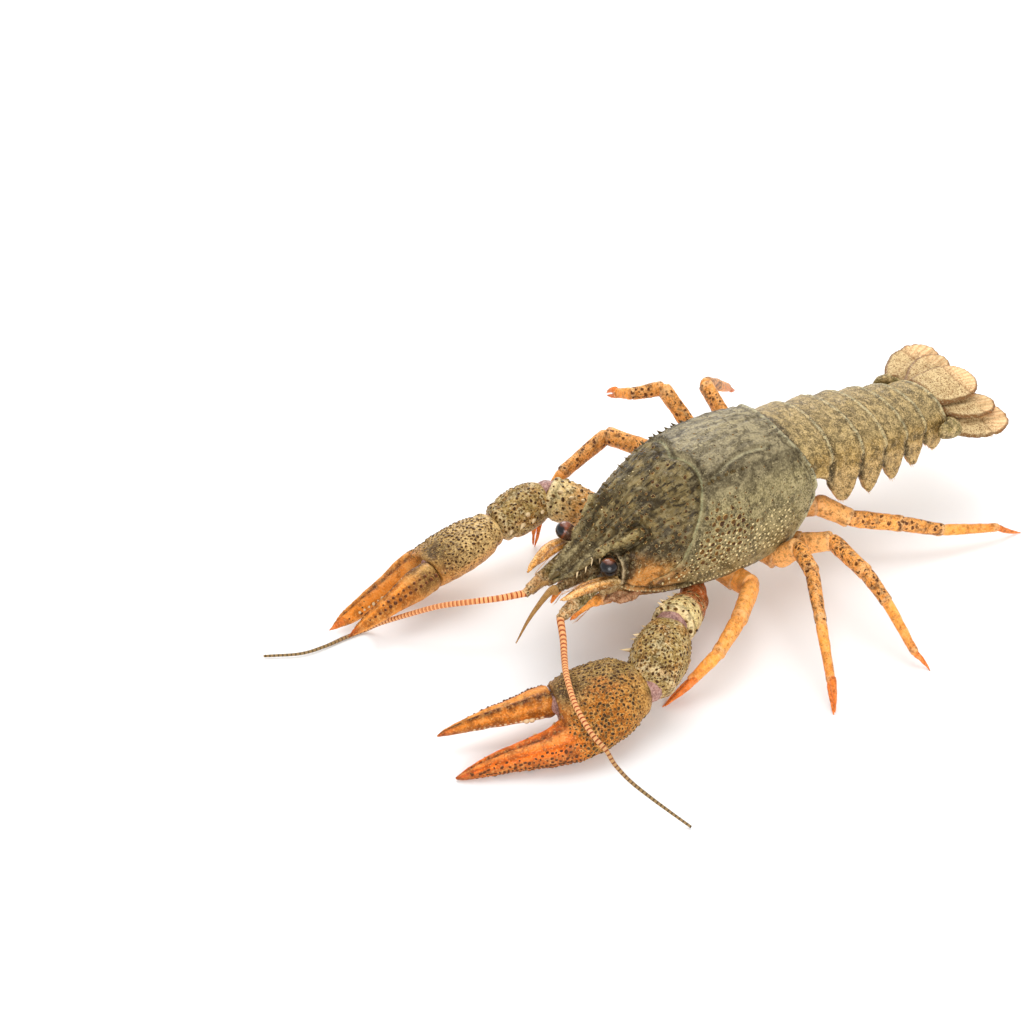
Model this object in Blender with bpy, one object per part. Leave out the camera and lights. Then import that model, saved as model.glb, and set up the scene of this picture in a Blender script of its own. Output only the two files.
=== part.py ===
"""A whole crayfish standing on its legs, with its claws laid forward and its tail stretched out.

Lengths below are in millimetres and are turned into metres when the meshes are made.
The head points towards -Y, the animal's left side is +X and +Z is up. While the animal is
modelled, y = 0 is the middle of the carapace's rear edge and z = 0 is the ground.
At the end everything is moved so that the middle of its footprint is the origin.
"""

import math

import bmesh
import bpy
from mathutils import Matrix, Vector

MM = 0.001
GAP = 0.3

# Carapace: y, half width, height of the back, height of the lower edge.
CARAPACE_STATIONS = (
    (-46.4, 5.6, 24.4, 16.8),
    (-45.2, 7.8, 26.2, 15.8),
    (-42.0, 9.8, 29.2, 14.6),
    (-38.0, 11.4, 32.6, 13.4),
    (-34.0, 12.5, 35.0, 12.6),
    (-29.0, 13.5, 37.8, 11.9),
    (-22.0, 14.4, 39.9, 11.2),
    (-13.0, 14.8, 40.3, 11.0),
    (-6.0, 14.6, 39.4, 11.6),
    (-1.5, 14.1, 38.5, 12.6),
    (0.0, 13.6, 37.8, 13.2),
)
CARAPACE_RINGS = 27
WIDEST_AT = 0.44
EDGE_TUCK = 0.14
STERNUM_HALF_WIDTH = 7.0
STERNUM_DROP = 3.0
REAR_BULGE = 5.0
REAR_BULGE_LENGTH = 16.0

# Rostrum: y, half width, height of its top, thickness.
ROSTRUM_STATIONS = (
    (-38.5, 5.6, 32.3, 4.0),
    (-43.0, 5.0, 28.4, 3.2),
    (-47.0, 4.2, 25.2, 2.6),
    (-51.5, 3.3, 22.3, 2.1),
    (-54.6, 2.2, 20.6, 1.6),
    (-57.1, 0.5, 19.2, 0.8),
)
ROSTRUM_SPINES = ((-47.4, 1.9), (-50.2, 1.9), (-53.2, 2.1))

# Abdomen: y of each plate's rear edge on the back, half width there, and how far its side lobes hang.
ABDOMEN_PITCH = math.radians(12.0)
ABDOMEN_START = (0.6, 37.0)
ABDOMEN_PLATES = (
    (10.0, 12.0, 10.5),
    (18.6, 12.6, 16.6),
    (25.6, 12.3, 15.6),
    (32.4, 11.6, 14.0),
    (38.8, 10.6, 12.0),
    (46.6, 9.0, 9.6),
)
ABDOMEN_FRONT_HALF_WIDTH = 11.6
ABDOMEN_DEPTH = 11.0
ABDOMEN_DEPTH_REAR = 7.0
LOBE_THICKNESS = 1.3
PLATE_STEP = 0.5
LOBE_LEAN = 1.5
PLATE_RINGS = 8

# Tail fan: the middle plate, and each side blade's length, half width, outward turn and root.
FAN_PITCH = math.radians(4.0)
FAN_ROLL = math.radians(10.0)
TELSON = dict(length=13.4, half_width=6.0, thickness=2.4, root=(0.0, 46.9, 25.9))
BLADES = {
    "tail_blade_left_inner": dict(length=13.4, half_width=4.3, turn=12.0, root=(5.0, 47.6, 24.1)),
    "tail_blade_left_outer": dict(length=16.9, half_width=6.4, turn=13.0, root=(7.2, 45.8, 22.2)),
    "tail_blade_right_inner": dict(length=13.4, half_width=4.3, turn=-16.0, root=(-5.2, 47.6, 24.1)),
    "tail_blade_right_outer": dict(length=17.2, half_width=5.7, turn=-16.5, root=(-8.9, 45.2, 22.6)),
}
BLADE_THICKNESS = 1.2
BLADE_FULL_WIDTH = 0.5
TAIL_BASE_ROUTE = ((6.8, 41.4, 24.2), (9.2, 43.6, 23.0), (10.9, 47.0, 22.2))
TAIL_BASE_RADII = (2.4, 3.0, 3.2, 2.8, 1.4)
TAIL_BASE_FLAT = 0.62

# Eyes and the parts of the head in front of the carapace.
EYE_CENTRE = (7.7, -47.6, 23.7)
EYE_RADIUS = 1.9
EYE_STALK_ROOT = (3.2, -44.5, 21.6)

# Walking legs: joints from inside the body outward, as x, y, z, and the radius at each.
LEG_RADII = (2.4, 2.5, 2.0, 1.75, 1.35, 1.0, 0.3)
LEGS = {
    "leg_left_1": ((6.0, -19.0, 11.4), (12.4, -16.5, 9.6), (17.6, -17.0, 11.2), (24.3, -25.8, 10.6),
                   (28.4, -34.6, 8.4), (28.4, -41.4, 4.4), (27.5, -47.8, 0.0)),
    "leg_left_2": ((6.0, -8.0, 11.4), (12.4, -5.6, 10.4), (17.6, -4.4, 16.0), (25.7, -7.5, 16.0),
                   (36.7, -14.2, 13.0), (45.6, -18.3, 5.0), (49.6, -20.5, 0.0)),
    "leg_left_3": ((6.0, -3.4, 12.0), (12.4, 0.8, 11.4), (18.0, 4.8, 14.0), (29.7, 4.3, 13.0),
                   (37.0, 4.1, 10.0), (47.0, 3.8, 3.0), (50.6, 5.1, 0.0)),
    "leg_left_4": ((3.2, 0.0, 13.6), (6.6, 9.6, 15.0), (11.6, 15.6, 11.4), (17.6, 25.8, 9.2),
                   (21.4, 34.5, 6.0), (25.6, 47.6, 3.6), (26.8, 54.1, 0.0)),
    "leg_right_1": ((-6.0, -15.0, 11.4), (-12.6, -12.0, 9.8), (-19.4, -10.5, 20.4), (-34.0, -17.0, 20.4),
                    (-33.4, -29.6, 15.6), (-32.6, -36.2, 8.0), (-31.6, -38.2, 0.0)),
    "leg_right_2": ((-6.0, -8.0, 11.4), (-12.6, -5.0, 10.2), (-19.0, -2.2, 21.4), (-30.6, -4.2, 30.0),
                    (-35.0, -9.4, 28.0), (-39.6, -10.2, 26.0), (-42.5, -10.7, 24.0)),
    "leg_right_3": ((-6.0, -3.8, 12.2), (-12.4, 2.0, 12.2), (-17.0, 5.4, 21.8), (-28.6, 6.2, 28.0),
                    (-33.0, 13.4, 22.6), (-38.4, 21.4, 15.8), (-41.0, 25.6, 12.0)),
    "leg_right_4": ((-3.2, 0.0, 13.6), (-6.6, 9.6, 15.0), (-11.6, 15.6, 11.4), (-17.6, 25.8, 9.2),
                    (-21.4, 34.5, 6.0), (-25.6, 47.6, 3.6), (-26.8, 54.1, 0.0)),
}
LEG_SIDES = 8
PINCER_LEGS = ("leg_left_1", "leg_left_2", "leg_right_1", "leg_right_2")
PINCER_SPREAD = 1.5
LEG_STATIONS = (0.1, 0.45, 0.9)

# Claw arms: joints from the body to the wrist, and the claw's heading, pitch, roll, opening and girth.
ARMS = {
    "left": dict(joints=((8.5, -25.5, 9.4), (14.6, -30.2, 10.8), (21.4, -41.6, 14.2), (30.0, -53.8, 9.8)),
                 heading=-19.0, pitch=-9.5, roll=22.0, opening=-1.0, girth=1.0),
    "right": dict(joints=((-8.5, -25.5, 9.4), (-16.0, -27.6, 12.4), (-28.6, -37.4, 15.8),
                          (-29.9, -50.4, 12.2)),
                  heading=4.4, pitch=-11.0, roll=30.0, opening=3.0, girth=0.92),
}
ARM_RADII = (2.6, 2.9, 3.3, 4.1, 4.7, 4.0)
WRIST_STATIONS = (0.06, 0.22, 0.5, 0.78, 0.93)
WRIST_RADII = (3.6, 5.2, 6.0, 5.4, 3.9)
ARM_SIDES = 12
# Claw sections along its length: distance, inner edge, outer edge, thickness.
PALM_STATIONS = (
    (0.0, -3.2, 2.6, 5.0),
    (1.6, -5.8, 4.6, 7.2),
    (5.0, -8.6, 7.2, 9.2),
    (10.0, -9.2, 9.2, 10.0),
    (15.0, -8.8, 10.3, 9.6),
    (19.0, -7.6, 10.6, 8.4),
)
FIXED_FINGER_STATIONS = (
    (17.0, -0.4, 10.4, 8.4),
    (22.0, 1.9, 10.0, 7.4),
    (27.0, 2.6, 9.0, 6.4),
    (32.0, 3.0, 8.1, 5.4),
    (37.0, 3.8, 7.3, 4.2),
    (41.0, 4.9, 6.7, 2.4),
    (43.0, 5.6, 6.1, 0.9),
)
MOVING_FINGER_HINGE = (19.4, -4.2)
MOVING_FINGER_STATIONS = (
    (0.0, -3.0, 3.2, 6.0),
    (3.4, -3.3, 3.1, 6.6),
    (8.0, -2.7, 2.4, 6.0),
    (13.0, -2.4, 1.5, 5.2),
    (18.0, -1.9, 0.7, 3.9),
    (22.6, -1.2, 0.0, 2.2),
    (24.4, -0.6, -0.2, 0.8),
)
CLAW_SIDES = 14

# Feelers: points along each whip, chosen by hand, from its base.
WHIPS = {
    "left": ((7.0, -59.3, 15.3), (13.7, -63.4, 16.2), (19.9, -67.6, 17.4), (25.7, -71.2, 18.2),
             (32.9, -74.3, 17.6), (39.2, -75.2, 15.6), (43.1, -74.4, 13.5), (45.4, -73.8, 11.0),
             (48.4, -72.3, 8.2), (51.9, -70.0, 5.4), (55.3, -67.6, 2.8), (58.9, -65.4, 0.6)),
    "right": ((-4.8, -59.6, 14.3), (-6.8, -64.8, 14.0), (-10.4, -70.0, 13.0), (-14.7, -74.6, 11.2),
              (-19.5, -79.0, 7.9), (-25.2, -82.9, 3.4), (-27.8, -85.1, 0.9), (-28.4, -90.0, 0.6),
              (-28.4, -95.2, 0.6), (-29.2, -100.6, 0.7), (-32.9, -107.0, 0.6)),
}
WHIP_RADIUS = 0.75
WHIP_TIP_RADIUS = 0.3
WHIP_POINTS = 30

# Paired parts of the head: name, left-hand points, radii along them, flatness and colour.
FEELER_BASE = (6.4, -46.0, 18.0)
HEAD_PARTS = (
    ("scale", ((8.4, -45.4, 19.8), (7.5, -52.2, 20.4), (5.6, -58.6, 18.4)),
     (1.3, 1.9, 1.9, 1.2, 0.3), 0.4, "tail"),
    ("short_feeler", ((1.5, -45.0, 18.4), (1.5, -53.0, 18.2), (1.3, -58.6, 17.6), (1.8, -63.2, 13.8),
                      (2.4, -67.2, 9.6)), (1.2, 1.2, 1.1, 0.9, 0.6, 0.4, 0.3, 0.2), 1.0, "feeler"),
    ("jaw_leg", ((3.2, -38.0, 12.2), (4.2, -46.4, 12.2), (4.4, -50.0, 13.4), (3.4, -54.2, 9.4)),
     (1.5, 1.7, 1.6, 1.4, 1.0, 0.3), 1.0, "leg"),
)

# Swimmerets, the small paddles under the tail: which plates carry a pair, and their size.
SWIMMERET_PLATES = (1, 2, 3, 4)
SWIMMERET_ROOT_X = 5.6
SWIMMERET_DROP = 1.4
SWIMMERET_LENGTH = 7.0

COLOURS = {
    "carapace": (0.145, 0.125, 0.060),
    "abdomen": (0.215, 0.165, 0.080),
    "tail": (0.400, 0.250, 0.110),
    "claw": (0.330, 0.160, 0.045),
    "leg": (0.700, 0.220, 0.035),
    "eye": (0.012, 0.010, 0.010),
    "feeler": (0.480, 0.210, 0.110),
}


def smooth_table(table, place):
    """Reads a table of stations at a place between them, along a smooth curve."""
    rows = sorted(table)
    last = len(rows) - 1
    index = 0
    while index < last - 1 and place > rows[index + 1][0]:
        index += 1
    before = rows[max(index - 1, 0)]
    low = rows[index]
    high = rows[index + 1]
    after = rows[min(index + 2, last)]
    width = high[0] - low[0]
    part = min(max((place - low[0]) / width, 0.0), 1.0)
    result = []
    for column in range(1, len(low)):
        slope_low = (high[column] - before[column]) / max(high[0] - before[0], 1e-9) * width
        slope_high = (after[column] - low[column]) / max(after[0] - low[0], 1e-9) * width
        square = part * part
        cube = square * part
        result.append((2 * cube - 3 * square + 1) * low[column] + (cube - 2 * square + part) * slope_low
                      + (3 * square - 2 * cube) * high[column] + (cube - square) * slope_high)
    return result


def smooth_route(points, count):
    """Spreads points evenly by number along a smooth curve through the given ones."""
    table = [(float(index),) + tuple(point) for index, point in enumerate(points)]
    last = len(points) - 1
    return [Vector(smooth_table(table, last * step / (count - 1))) for step in range(count)]


def make_object(name, bm, colour):
    """Turns a mesh in millimetres into an object in metres with its own material."""
    bmesh.ops.scale(bm, vec=(MM, MM, MM), verts=bm.verts)
    mesh = bpy.data.meshes.new(name)
    bm.to_mesh(mesh)
    bm.free()
    obj = bpy.data.objects.new(name, mesh)
    bpy.context.scene.collection.objects.link(obj)
    material = bpy.data.materials.new(name)
    material.use_nodes = True
    surface = material.node_tree.nodes["Principled BSDF"]
    surface.inputs["Base Color"].default_value = (*COLOURS[colour], 1.0)
    surface.inputs["Roughness"].default_value = 0.08 if colour == "eye" else 0.45
    surface.inputs["Metallic"].default_value = 0.0
    mesh.materials.append(material)
    mesh.shade_smooth()
    mesh.set_sharp_from_angle(angle=math.radians(40.0))
    return obj


def add_loft(bm, rings):
    """Skins a row of rings, all with the same number of points, and closes both ends."""
    rows = [[bm.verts.new(point) for point in ring] for ring in rings]
    sides = len(rings[0])
    for near, far in zip(rows, rows[1:]):
        for side in range(sides):
            after = (side + 1) % sides
            bm.faces.new((near[side], near[after], far[after], far[side]))
    for row, ring in ((rows[0], rings[0]), (rows[-1], rings[-1])):
        middle = bm.verts.new(sum((Vector(point) for point in ring), Vector()) / sides)
        for side in range(sides):
            bm.faces.new((row[side], row[(side + 1) % sides], middle))
    faces = [face for vert in rows[0] + rows[-1] for face in vert.link_faces]
    for row in rows:
        for vert in row:
            faces.extend(vert.link_faces)
    bmesh.ops.recalc_face_normals(bm, faces=list(set(faces)))


def path_frames(points, up):
    """Gives each point of a path its direction and two directions across it."""
    frames = []
    for index, point in enumerate(points):
        before = points[max(index - 1, 0)]
        after = points[min(index + 1, len(points) - 1)]
        along = (Vector(after) - Vector(before)).normalized()
        across = along.cross(up).normalized()
        frames.append((Vector(point), along, across, across.cross(along).normalized()))
    return frames


def add_tube(bm, points, radii, sides, flat=1.0):
    """Adds a closed tube whose radius is given at each point; flat squeezes it from above."""
    rings = []
    for (centre, _, across, rise), radius in zip(path_frames(points, Vector((0.0, 0.0, 1.0))), radii):
        ring = []
        for side in range(sides):
            angle = 2.0 * math.pi * side / sides
            height = radius * flat * math.sin(angle)
            ring.append(centre + across * (radius * math.cos(angle)) + rise * height)
        rings.append(ring)
    add_loft(bm, rings)


def add_spine(bm, foot, direction, length, radius, sides=5):
    """Adds one pointed spine that stands on a foot point, with its root sunk below it."""
    direction = Vector(direction).normalized()
    turn = Vector((0.0, 0.0, 1.0)).rotation_difference(direction).to_matrix().to_4x4()
    place = Matrix.Translation(Vector(foot) + direction * (length - radius) * 0.5) @ turn
    bmesh.ops.create_cone(bm, cap_ends=True, segments=sides, radius1=radius, radius2=0.0,
                          depth=length + radius, matrix=place)


def combine(obj, bm, operation, solver="EXACT"):
    """Joins the meshes in bm to an object, or cuts them from it, and removes them."""
    cutter = make_object("cutter", bm, "leg")
    group = bpy.data.collections.new("cutters")
    bpy.context.scene.collection.children.link(group)
    bpy.context.scene.collection.objects.unlink(cutter)
    group.objects.link(cutter)
    boolean = obj.modifiers.new("combine", "BOOLEAN")
    boolean.operation = operation
    boolean.operand_type = "COLLECTION"
    boolean.collection = group
    boolean.solver = solver
    graph = bpy.context.evaluated_depsgraph_get()
    result = bpy.data.meshes.new_from_object(obj.evaluated_get(graph), depsgraph=graph)
    obj.modifiers.clear()
    old = obj.data
    material = old.materials[0]
    obj.data = result
    result.materials.clear()
    result.materials.append(material)
    bpy.data.meshes.remove(old)
    bpy.data.objects.remove(cutter)
    bpy.data.collections.remove(group)


def carapace_ring(place, clearance):
    """One section of the carapace and the breast under it, clockwise from the back's middle."""
    half_width, top, edge = smooth_table(CARAPACE_STATIONS, place)
    half_width += clearance
    top += clearance
    edge -= clearance
    widest = edge + (top - edge) * WIDEST_AT
    half = []
    for step in range(9):
        angle = math.radians(90.0 - 90.0 * step / 8)
        half.append((half_width * math.cos(angle) ** 0.88, widest + (top - widest) * math.sin(angle) ** 0.9))
    for part in (0.35, 0.7, 1.0):
        half.append((half_width * (1.0 - EDGE_TUCK * part ** 2), widest + (edge - widest) * part))
    sternum = min(STERNUM_HALF_WIDTH, half_width * 0.6) + clearance
    half.append((sternum + 0.3 * (half_width - sternum), edge - 0.6))
    half.append((sternum, edge - STERNUM_DROP))
    half.append((0.0, edge - STERNUM_DROP - 0.3))
    rear = min(max((place + REAR_BULGE_LENGTH) / REAR_BULGE_LENGTH, 0.0), 1.0) ** 2
    points = []
    for x, z in half:
        fall = min(max((top - z) / (top - edge), 0.0), 1.0)
        shift = REAR_BULGE * rear * math.sin(math.pi * min(fall * 1.04, 1.0)) - 1.4 * rear * fall
        points.append(Vector((x, place + shift, z)))
    mirrored = [Vector((-point.x, point.y, point.z)) for point in points[-2:0:-1]]
    return points + mirrored


def add_carapace(bm, clearance=0.0):
    first = CARAPACE_STATIONS[0][0]
    last = CARAPACE_STATIONS[-1][0]
    rings = [carapace_ring(first + (last - first) * step / (CARAPACE_RINGS - 1), clearance)
             for step in range(CARAPACE_RINGS)]
    if clearance:
        rings[0] = [point + Vector((0.0, -clearance, 0.0)) for point in rings[0]]
        rings[-1] = [point + Vector((0.0, clearance, 0.0)) for point in rings[-1]]
    add_loft(bm, rings)


def add_rostrum(bm, clearance=0.0):
    rings = []
    for y, half_width, top, thickness in ROSTRUM_STATIONS:
        wide = half_width + clearance
        low = top - thickness - clearance
        high = top + clearance
        rings.append([Vector(point) for point in (
            (wide, y, high), (wide * 0.6, y, high - 0.55), (0.0, y, high - 0.35),
            (-wide * 0.6, y, high - 0.55), (-wide, y, high),
            (-wide * 0.85, y, low + 0.5), (0.0, y, low), (wide * 0.85, y, low + 0.5))])
    add_loft(bm, rings)


def make_cephalothorax():
    bm = bmesh.new()
    add_carapace(bm)
    body = make_object("cephalothorax", bm, "carapace")
    extras = bmesh.new()
    add_rostrum(extras)
    combine(body, extras, "UNION")
    spines = bmesh.new()
    for side in (1.0, -1.0):
        for y, length in ROSTRUM_SPINES:
            half_width, top, _ = smooth_table(ROSTRUM_STATIONS, y)
            foot = (side * (half_width - 0.3), y, top - 0.4)
            add_spine(spines, foot, (side * 0.45, -1.0, -0.2), length, 0.6)
    combine(body, spines, "UNION")


def connected_verts(vert):
    """All vertices that edges join to this one."""
    found = {vert}
    waiting = [vert]
    while waiting:
        for edge in waiting.pop().link_edges:
            for other in edge.verts:
                if other not in found:
                    found.add(other)
                    waiting.append(other)
    return found


def drop_crumbs(obj):
    """Keeps only the largest body of an object, where a cut has split small crumbs off."""
    bm = bmesh.new()
    bm.from_mesh(obj.data)
    left = set(bm.verts)
    bodies = []
    while left:
        body = connected_verts(next(iter(left)))
        bodies.append(body)
        left -= body
    bodies.sort(key=len)
    crumbs = [vert for body in bodies[:-1] for vert in body]
    bmesh.ops.delete(bm, geom=crumbs, context="VERTS")
    bm.to_mesh(obj.data)
    bm.free()


def cut_back(obj, *makers, solver="EXACT"):
    """Cuts an object back from its neighbours, each one made a gap larger by its own function."""
    for maker in makers:
        bm = bmesh.new()
        maker(bm, GAP)
        combine(obj, bm, "DIFFERENCE", solver)
    drop_crumbs(obj)


def abdomen_point(distance, x, depth):
    """A point of the abdomen from its distance along the back, its side and its depth below the back."""
    along = Vector((0.0, math.cos(ABDOMEN_PITCH), -math.sin(ABDOMEN_PITCH)))
    down = Vector((0.0, -math.sin(ABDOMEN_PITCH), -math.cos(ABDOMEN_PITCH)))
    return Vector((0.0, *ABDOMEN_START)) + along * distance + down * depth + Vector((x, 0.0, 0.0))


def plate_ring(distance, half_width, lobe, depth, thickness):
    """One section of a tail plate: its arch, the lobe that hangs on each side and the belly."""
    half = []
    for step in range(7):
        angle = math.radians(90.0 - 90.0 * step / 6)
        half.append((half_width * math.cos(angle) ** 0.92, depth * 0.62 * (1.0 - math.sin(angle))))
    half.append((half_width, max(lobe, depth * 0.7)))
    half.append((half_width - thickness, max(lobe, depth * 0.72)))
    half.append((half_width - thickness * 1.6, depth * 0.9))
    half.append((half_width * 0.55, depth))
    half.append((0.0, depth))
    points = [abdomen_point(distance, x, d) for x, d in half]
    return points + [abdomen_point(distance, -x, d) for x, d in half[-2:0:-1]]


def plate_rears():
    """Distances along the back of the rear edge of each tail plate."""
    return [(plate[0] - ABDOMEN_START[0]) / math.cos(ABDOMEN_PITCH) for plate in ABDOMEN_PLATES]


def abdomen_depth(distance):
    """Depth from the back to the belly at a distance along the tail."""
    return ABDOMEN_DEPTH + (ABDOMEN_DEPTH_REAR - ABDOMEN_DEPTH) * distance / plate_rears()[-1]


def add_plate(bm, number, clearance=0.0):
    """Adds a tail plate, from just behind the one in front of it to its own rear edge."""
    rears = plate_rears()
    widths = [ABDOMEN_FRONT_HALF_WIDTH] + [plate[1] for plate in ABDOMEN_PLATES]
    front = rears[number - 1] + GAP if number else GAP
    rear = rears[number]
    rings = []
    for step in range(PLATE_RINGS):
        part = step / (PLATE_RINGS - 1)
        distance = front - clearance + (rear - front + 2.0 * clearance) * part
        depth = abdomen_depth(distance) + 2.0 * clearance
        leaf = math.sin(math.pi * part ** LOBE_LEAN) ** 0.8
        hang = depth * 0.7 + (ABDOMEN_PLATES[number][2] - depth * 0.7) * leaf + 2.0 * clearance
        wide = widths[number] + (widths[number + 1] - widths[number]) * part + PLATE_STEP * part + clearance
        ring = plate_ring(distance, wide, hang, depth, LOBE_THICKNESS + 2.0 * clearance)
        lift = Vector((0.0, 0.0, PLATE_STEP * part + clearance))
        rings.append([point + lift for point in ring])
    add_loft(bm, rings)


def add_last_plate(bm, clearance):
    """Adds the last tail plate, as a cutter with twice the gap for the parts that are rooted in it."""
    add_plate(bm, len(ABDOMEN_PLATES) - 1, 2.0 * clearance)


def make_abdomen():
    for number in range(len(ABDOMEN_PLATES)):
        bm = bmesh.new()
        add_plate(bm, number)
        plate = make_object(f"abdomen_{number + 1}", bm, "abdomen")
        if number == 0:
            cut_back(plate, add_carapace)


def make_swimmerets():
    """Makes the pairs of small paddles that hang under the tail plates."""
    rears = plate_rears()
    for number in SWIMMERET_PLATES:
        middle = (rears[number - 1] + rears[number]) * 0.5
        for side, side_name in ((1.0, "left"), (-1.0, "right")):
            root = abdomen_point(middle, side * SWIMMERET_ROOT_X, abdomen_depth(middle) + SWIMMERET_DROP)
            tip = root + Vector((-side * 1.4, SWIMMERET_LENGTH * 0.62, -SWIMMERET_LENGTH * 0.72))
            bm = bmesh.new()
            add_tube(bm, [root.lerp(tip, part) for part in (0.0, 0.25, 0.6, 0.88, 1.0)],
                     (0.7, 0.9, 1.5, 1.1, 0.4), 8, 0.4)
            make_object(f"swimmeret_{side_name}_{number}", bm, "leg")


def blade_rings(length, half_width, thickness, root_share, count=9):
    """Sections of a flat blade with a round end, from its root at the origin along +Y."""
    rings = []
    for step in range(count):
        part = math.sin(math.pi * 0.5 * step / (count - 1))
        if part < BLADE_FULL_WIDTH:
            opened = math.sin(math.pi * 0.5 * part / BLADE_FULL_WIDTH)
            wide = half_width * (root_share + (1.0 - root_share) * opened)
        else:
            fall = (part - BLADE_FULL_WIDTH) / (1.02 - BLADE_FULL_WIDTH)
            wide = half_width * math.sqrt(max(1.0 - fall ** 2.4, 0.02))
        thin = thickness * (1.0 - 0.55 * part)
        ring = []
        for side in range(10):
            angle = 2.0 * math.pi * side / 10
            ring.append(Vector((wide * math.cos(angle), length * part, thin * 0.5 * math.sin(angle))))
        rings.append(ring)
    return rings


def fan_tilt():
    """The slope of the whole tail fan about the root of its middle plate."""
    root = Vector(TELSON["root"])
    turn = Matrix.Rotation(FAN_ROLL, 4, "Y") @ Matrix.Rotation(-FAN_PITCH, 4, "X")
    return Matrix.Translation(root) @ turn @ Matrix.Translation(-root)


def add_blade(bm, blade, clearance=0.0):
    """Adds one side blade of the tail fan."""
    turn = Matrix.Rotation(math.radians(-blade["turn"]), 4, "Z")
    place = fan_tilt() @ Matrix.Translation(blade["root"]) @ turn
    rings = blade_rings(blade["length"] + clearance, blade["half_width"] + clearance,
                        BLADE_THICKNESS + 2.0 * clearance, 0.42)
    rings[0] = [point + Vector((0.0, -clearance, 0.0)) for point in rings[0]]
    add_loft(bm, [[place @ point for point in ring] for ring in rings])


def make_tail_fan():
    bm = bmesh.new()
    place = fan_tilt() @ Matrix.Translation(TELSON["root"])
    rings = blade_rings(TELSON["length"], TELSON["half_width"], TELSON["thickness"], 0.82)
    add_loft(bm, [[place @ point for point in ring] for ring in rings])
    cut_back(make_object("telson", bm, "tail"), add_last_plate)
    for name, blade in BLADES.items():
        bm = bmesh.new()
        add_blade(bm, blade)
        cut_back(make_object(name, bm, "tail"), add_last_plate)
    for side, side_name in ((1.0, "left"), (-1.0, "right")):
        bm = bmesh.new()
        route = smooth_route([(side * x, y, z) for x, y, z in TAIL_BASE_ROUTE], len(TAIL_BASE_RADII))
        add_tube(bm, route, TAIL_BASE_RADII, 10, TAIL_BASE_FLAT)
        blades = [BLADES[f"tail_blade_{side_name}_{place}"] for place in ("inner", "outer")]
        cut_back(make_object(f"tail_base_{side_name}", bm, "abdomen"), add_last_plate,
                 *(lambda bm, clearance, blade=blade: add_blade(bm, blade, clearance) for blade in blades),
                 solver="MANIFOLD")


def add_pincer_finger(bm, knuckle, hinge, tip):
    """Adds the second finger of a leg's small pincer, beside the one that ends the leg."""
    along = (tip - hinge).normalized()
    aside = (hinge - knuckle).normalized()
    aside = (aside - along * aside.dot(along)).normalized()
    aside *= PINCER_SPREAD
    route = (hinge.lerp(tip, -0.2), hinge + aside * 0.8, hinge.lerp(tip, 0.4) + aside,
             hinge.lerp(tip, 0.8) + aside * 0.6)
    add_tube(bm, route, (0.8, 0.9, 0.7, 0.25), 6)


def make_legs():
    for name, joints in LEGS.items():
        points = [Vector(joints[0])]
        radii = [LEG_RADII[0]]
        for index in range(len(joints) - 1):
            start = Vector(joints[index])
            end = Vector(joints[index + 1])
            for part in LEG_STATIONS:
                points.append(start.lerp(end, part))
                radii.append(LEG_RADII[index] + (LEG_RADII[index + 1] - LEG_RADII[index]) * part)
        points.append(Vector(joints[-1]))
        radii.append(LEG_RADII[-1])
        bm = bmesh.new()
        add_tube(bm, points, radii, LEG_SIDES)
        leg = make_object(name, bm, "leg")
        if name in PINCER_LEGS:
            finger = bmesh.new()
            add_pincer_finger(finger, Vector(joints[-3]), Vector(joints[-2]), Vector(joints[-1]))
            combine(leg, finger, "UNION")
        cut_back(leg, add_carapace)


def claw_matrix(side, arm):
    """Places a claw's own axes: x along the claw, y to its outer side, z up through its palm."""
    mirror = 1.0 if side == "left" else -1.0
    heading = math.radians(arm["heading"])
    pitch = math.radians(arm["pitch"])
    level = math.cos(pitch)
    forward = Vector((math.sin(heading) * level, -math.cos(heading) * level, math.sin(pitch)))
    outward = forward.cross(Vector((0.0, 0.0, 1.0))).normalized() * -mirror
    rise = Vector((0.0, 0.0, 1.0)) - forward * forward.z
    rise.normalize()
    roll = math.radians(arm["roll"])
    turned_outward = outward * math.cos(roll) - rise * math.sin(roll)
    turned_rise = rise * math.cos(roll) + outward * math.sin(roll)
    place = Matrix((forward, turned_outward * arm["girth"], turned_rise)).transposed().to_4x4()
    place.translation = Vector(arm["joints"][-1])
    return place


def claw_rings(stations, matrix, count):
    """Sections of a claw piece, a little flatter below than above."""
    rings = []
    first = stations[0][0]
    last = stations[-1][0]
    for step in range(count):
        place = first + (last - first) * step / (count - 1)
        inner, outer, thickness = smooth_table(stations, place)
        middle = (inner + outer) * 0.5
        wide = (outer - inner) * 0.5
        ring = []
        for side in range(CLAW_SIDES):
            angle = 2.0 * math.pi * side / CLAW_SIDES
            rise = math.sin(angle) * thickness * (0.54 if math.sin(angle) > 0 else 0.46)
            ring.append(matrix @ Vector((place, middle + wide * math.cos(angle), rise)))
        rings.append(ring)
    return rings


def add_wrist(bm, arm, clearance=0.0):
    """Adds the round piece between an arm and its claw."""
    knee = Vector(arm["joints"][2])
    wrist = Vector(arm["joints"][3])
    add_tube(bm, [knee.lerp(wrist, part) for part in WRIST_STATIONS],
             [radius + clearance for radius in WRIST_RADII], ARM_SIDES)


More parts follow.
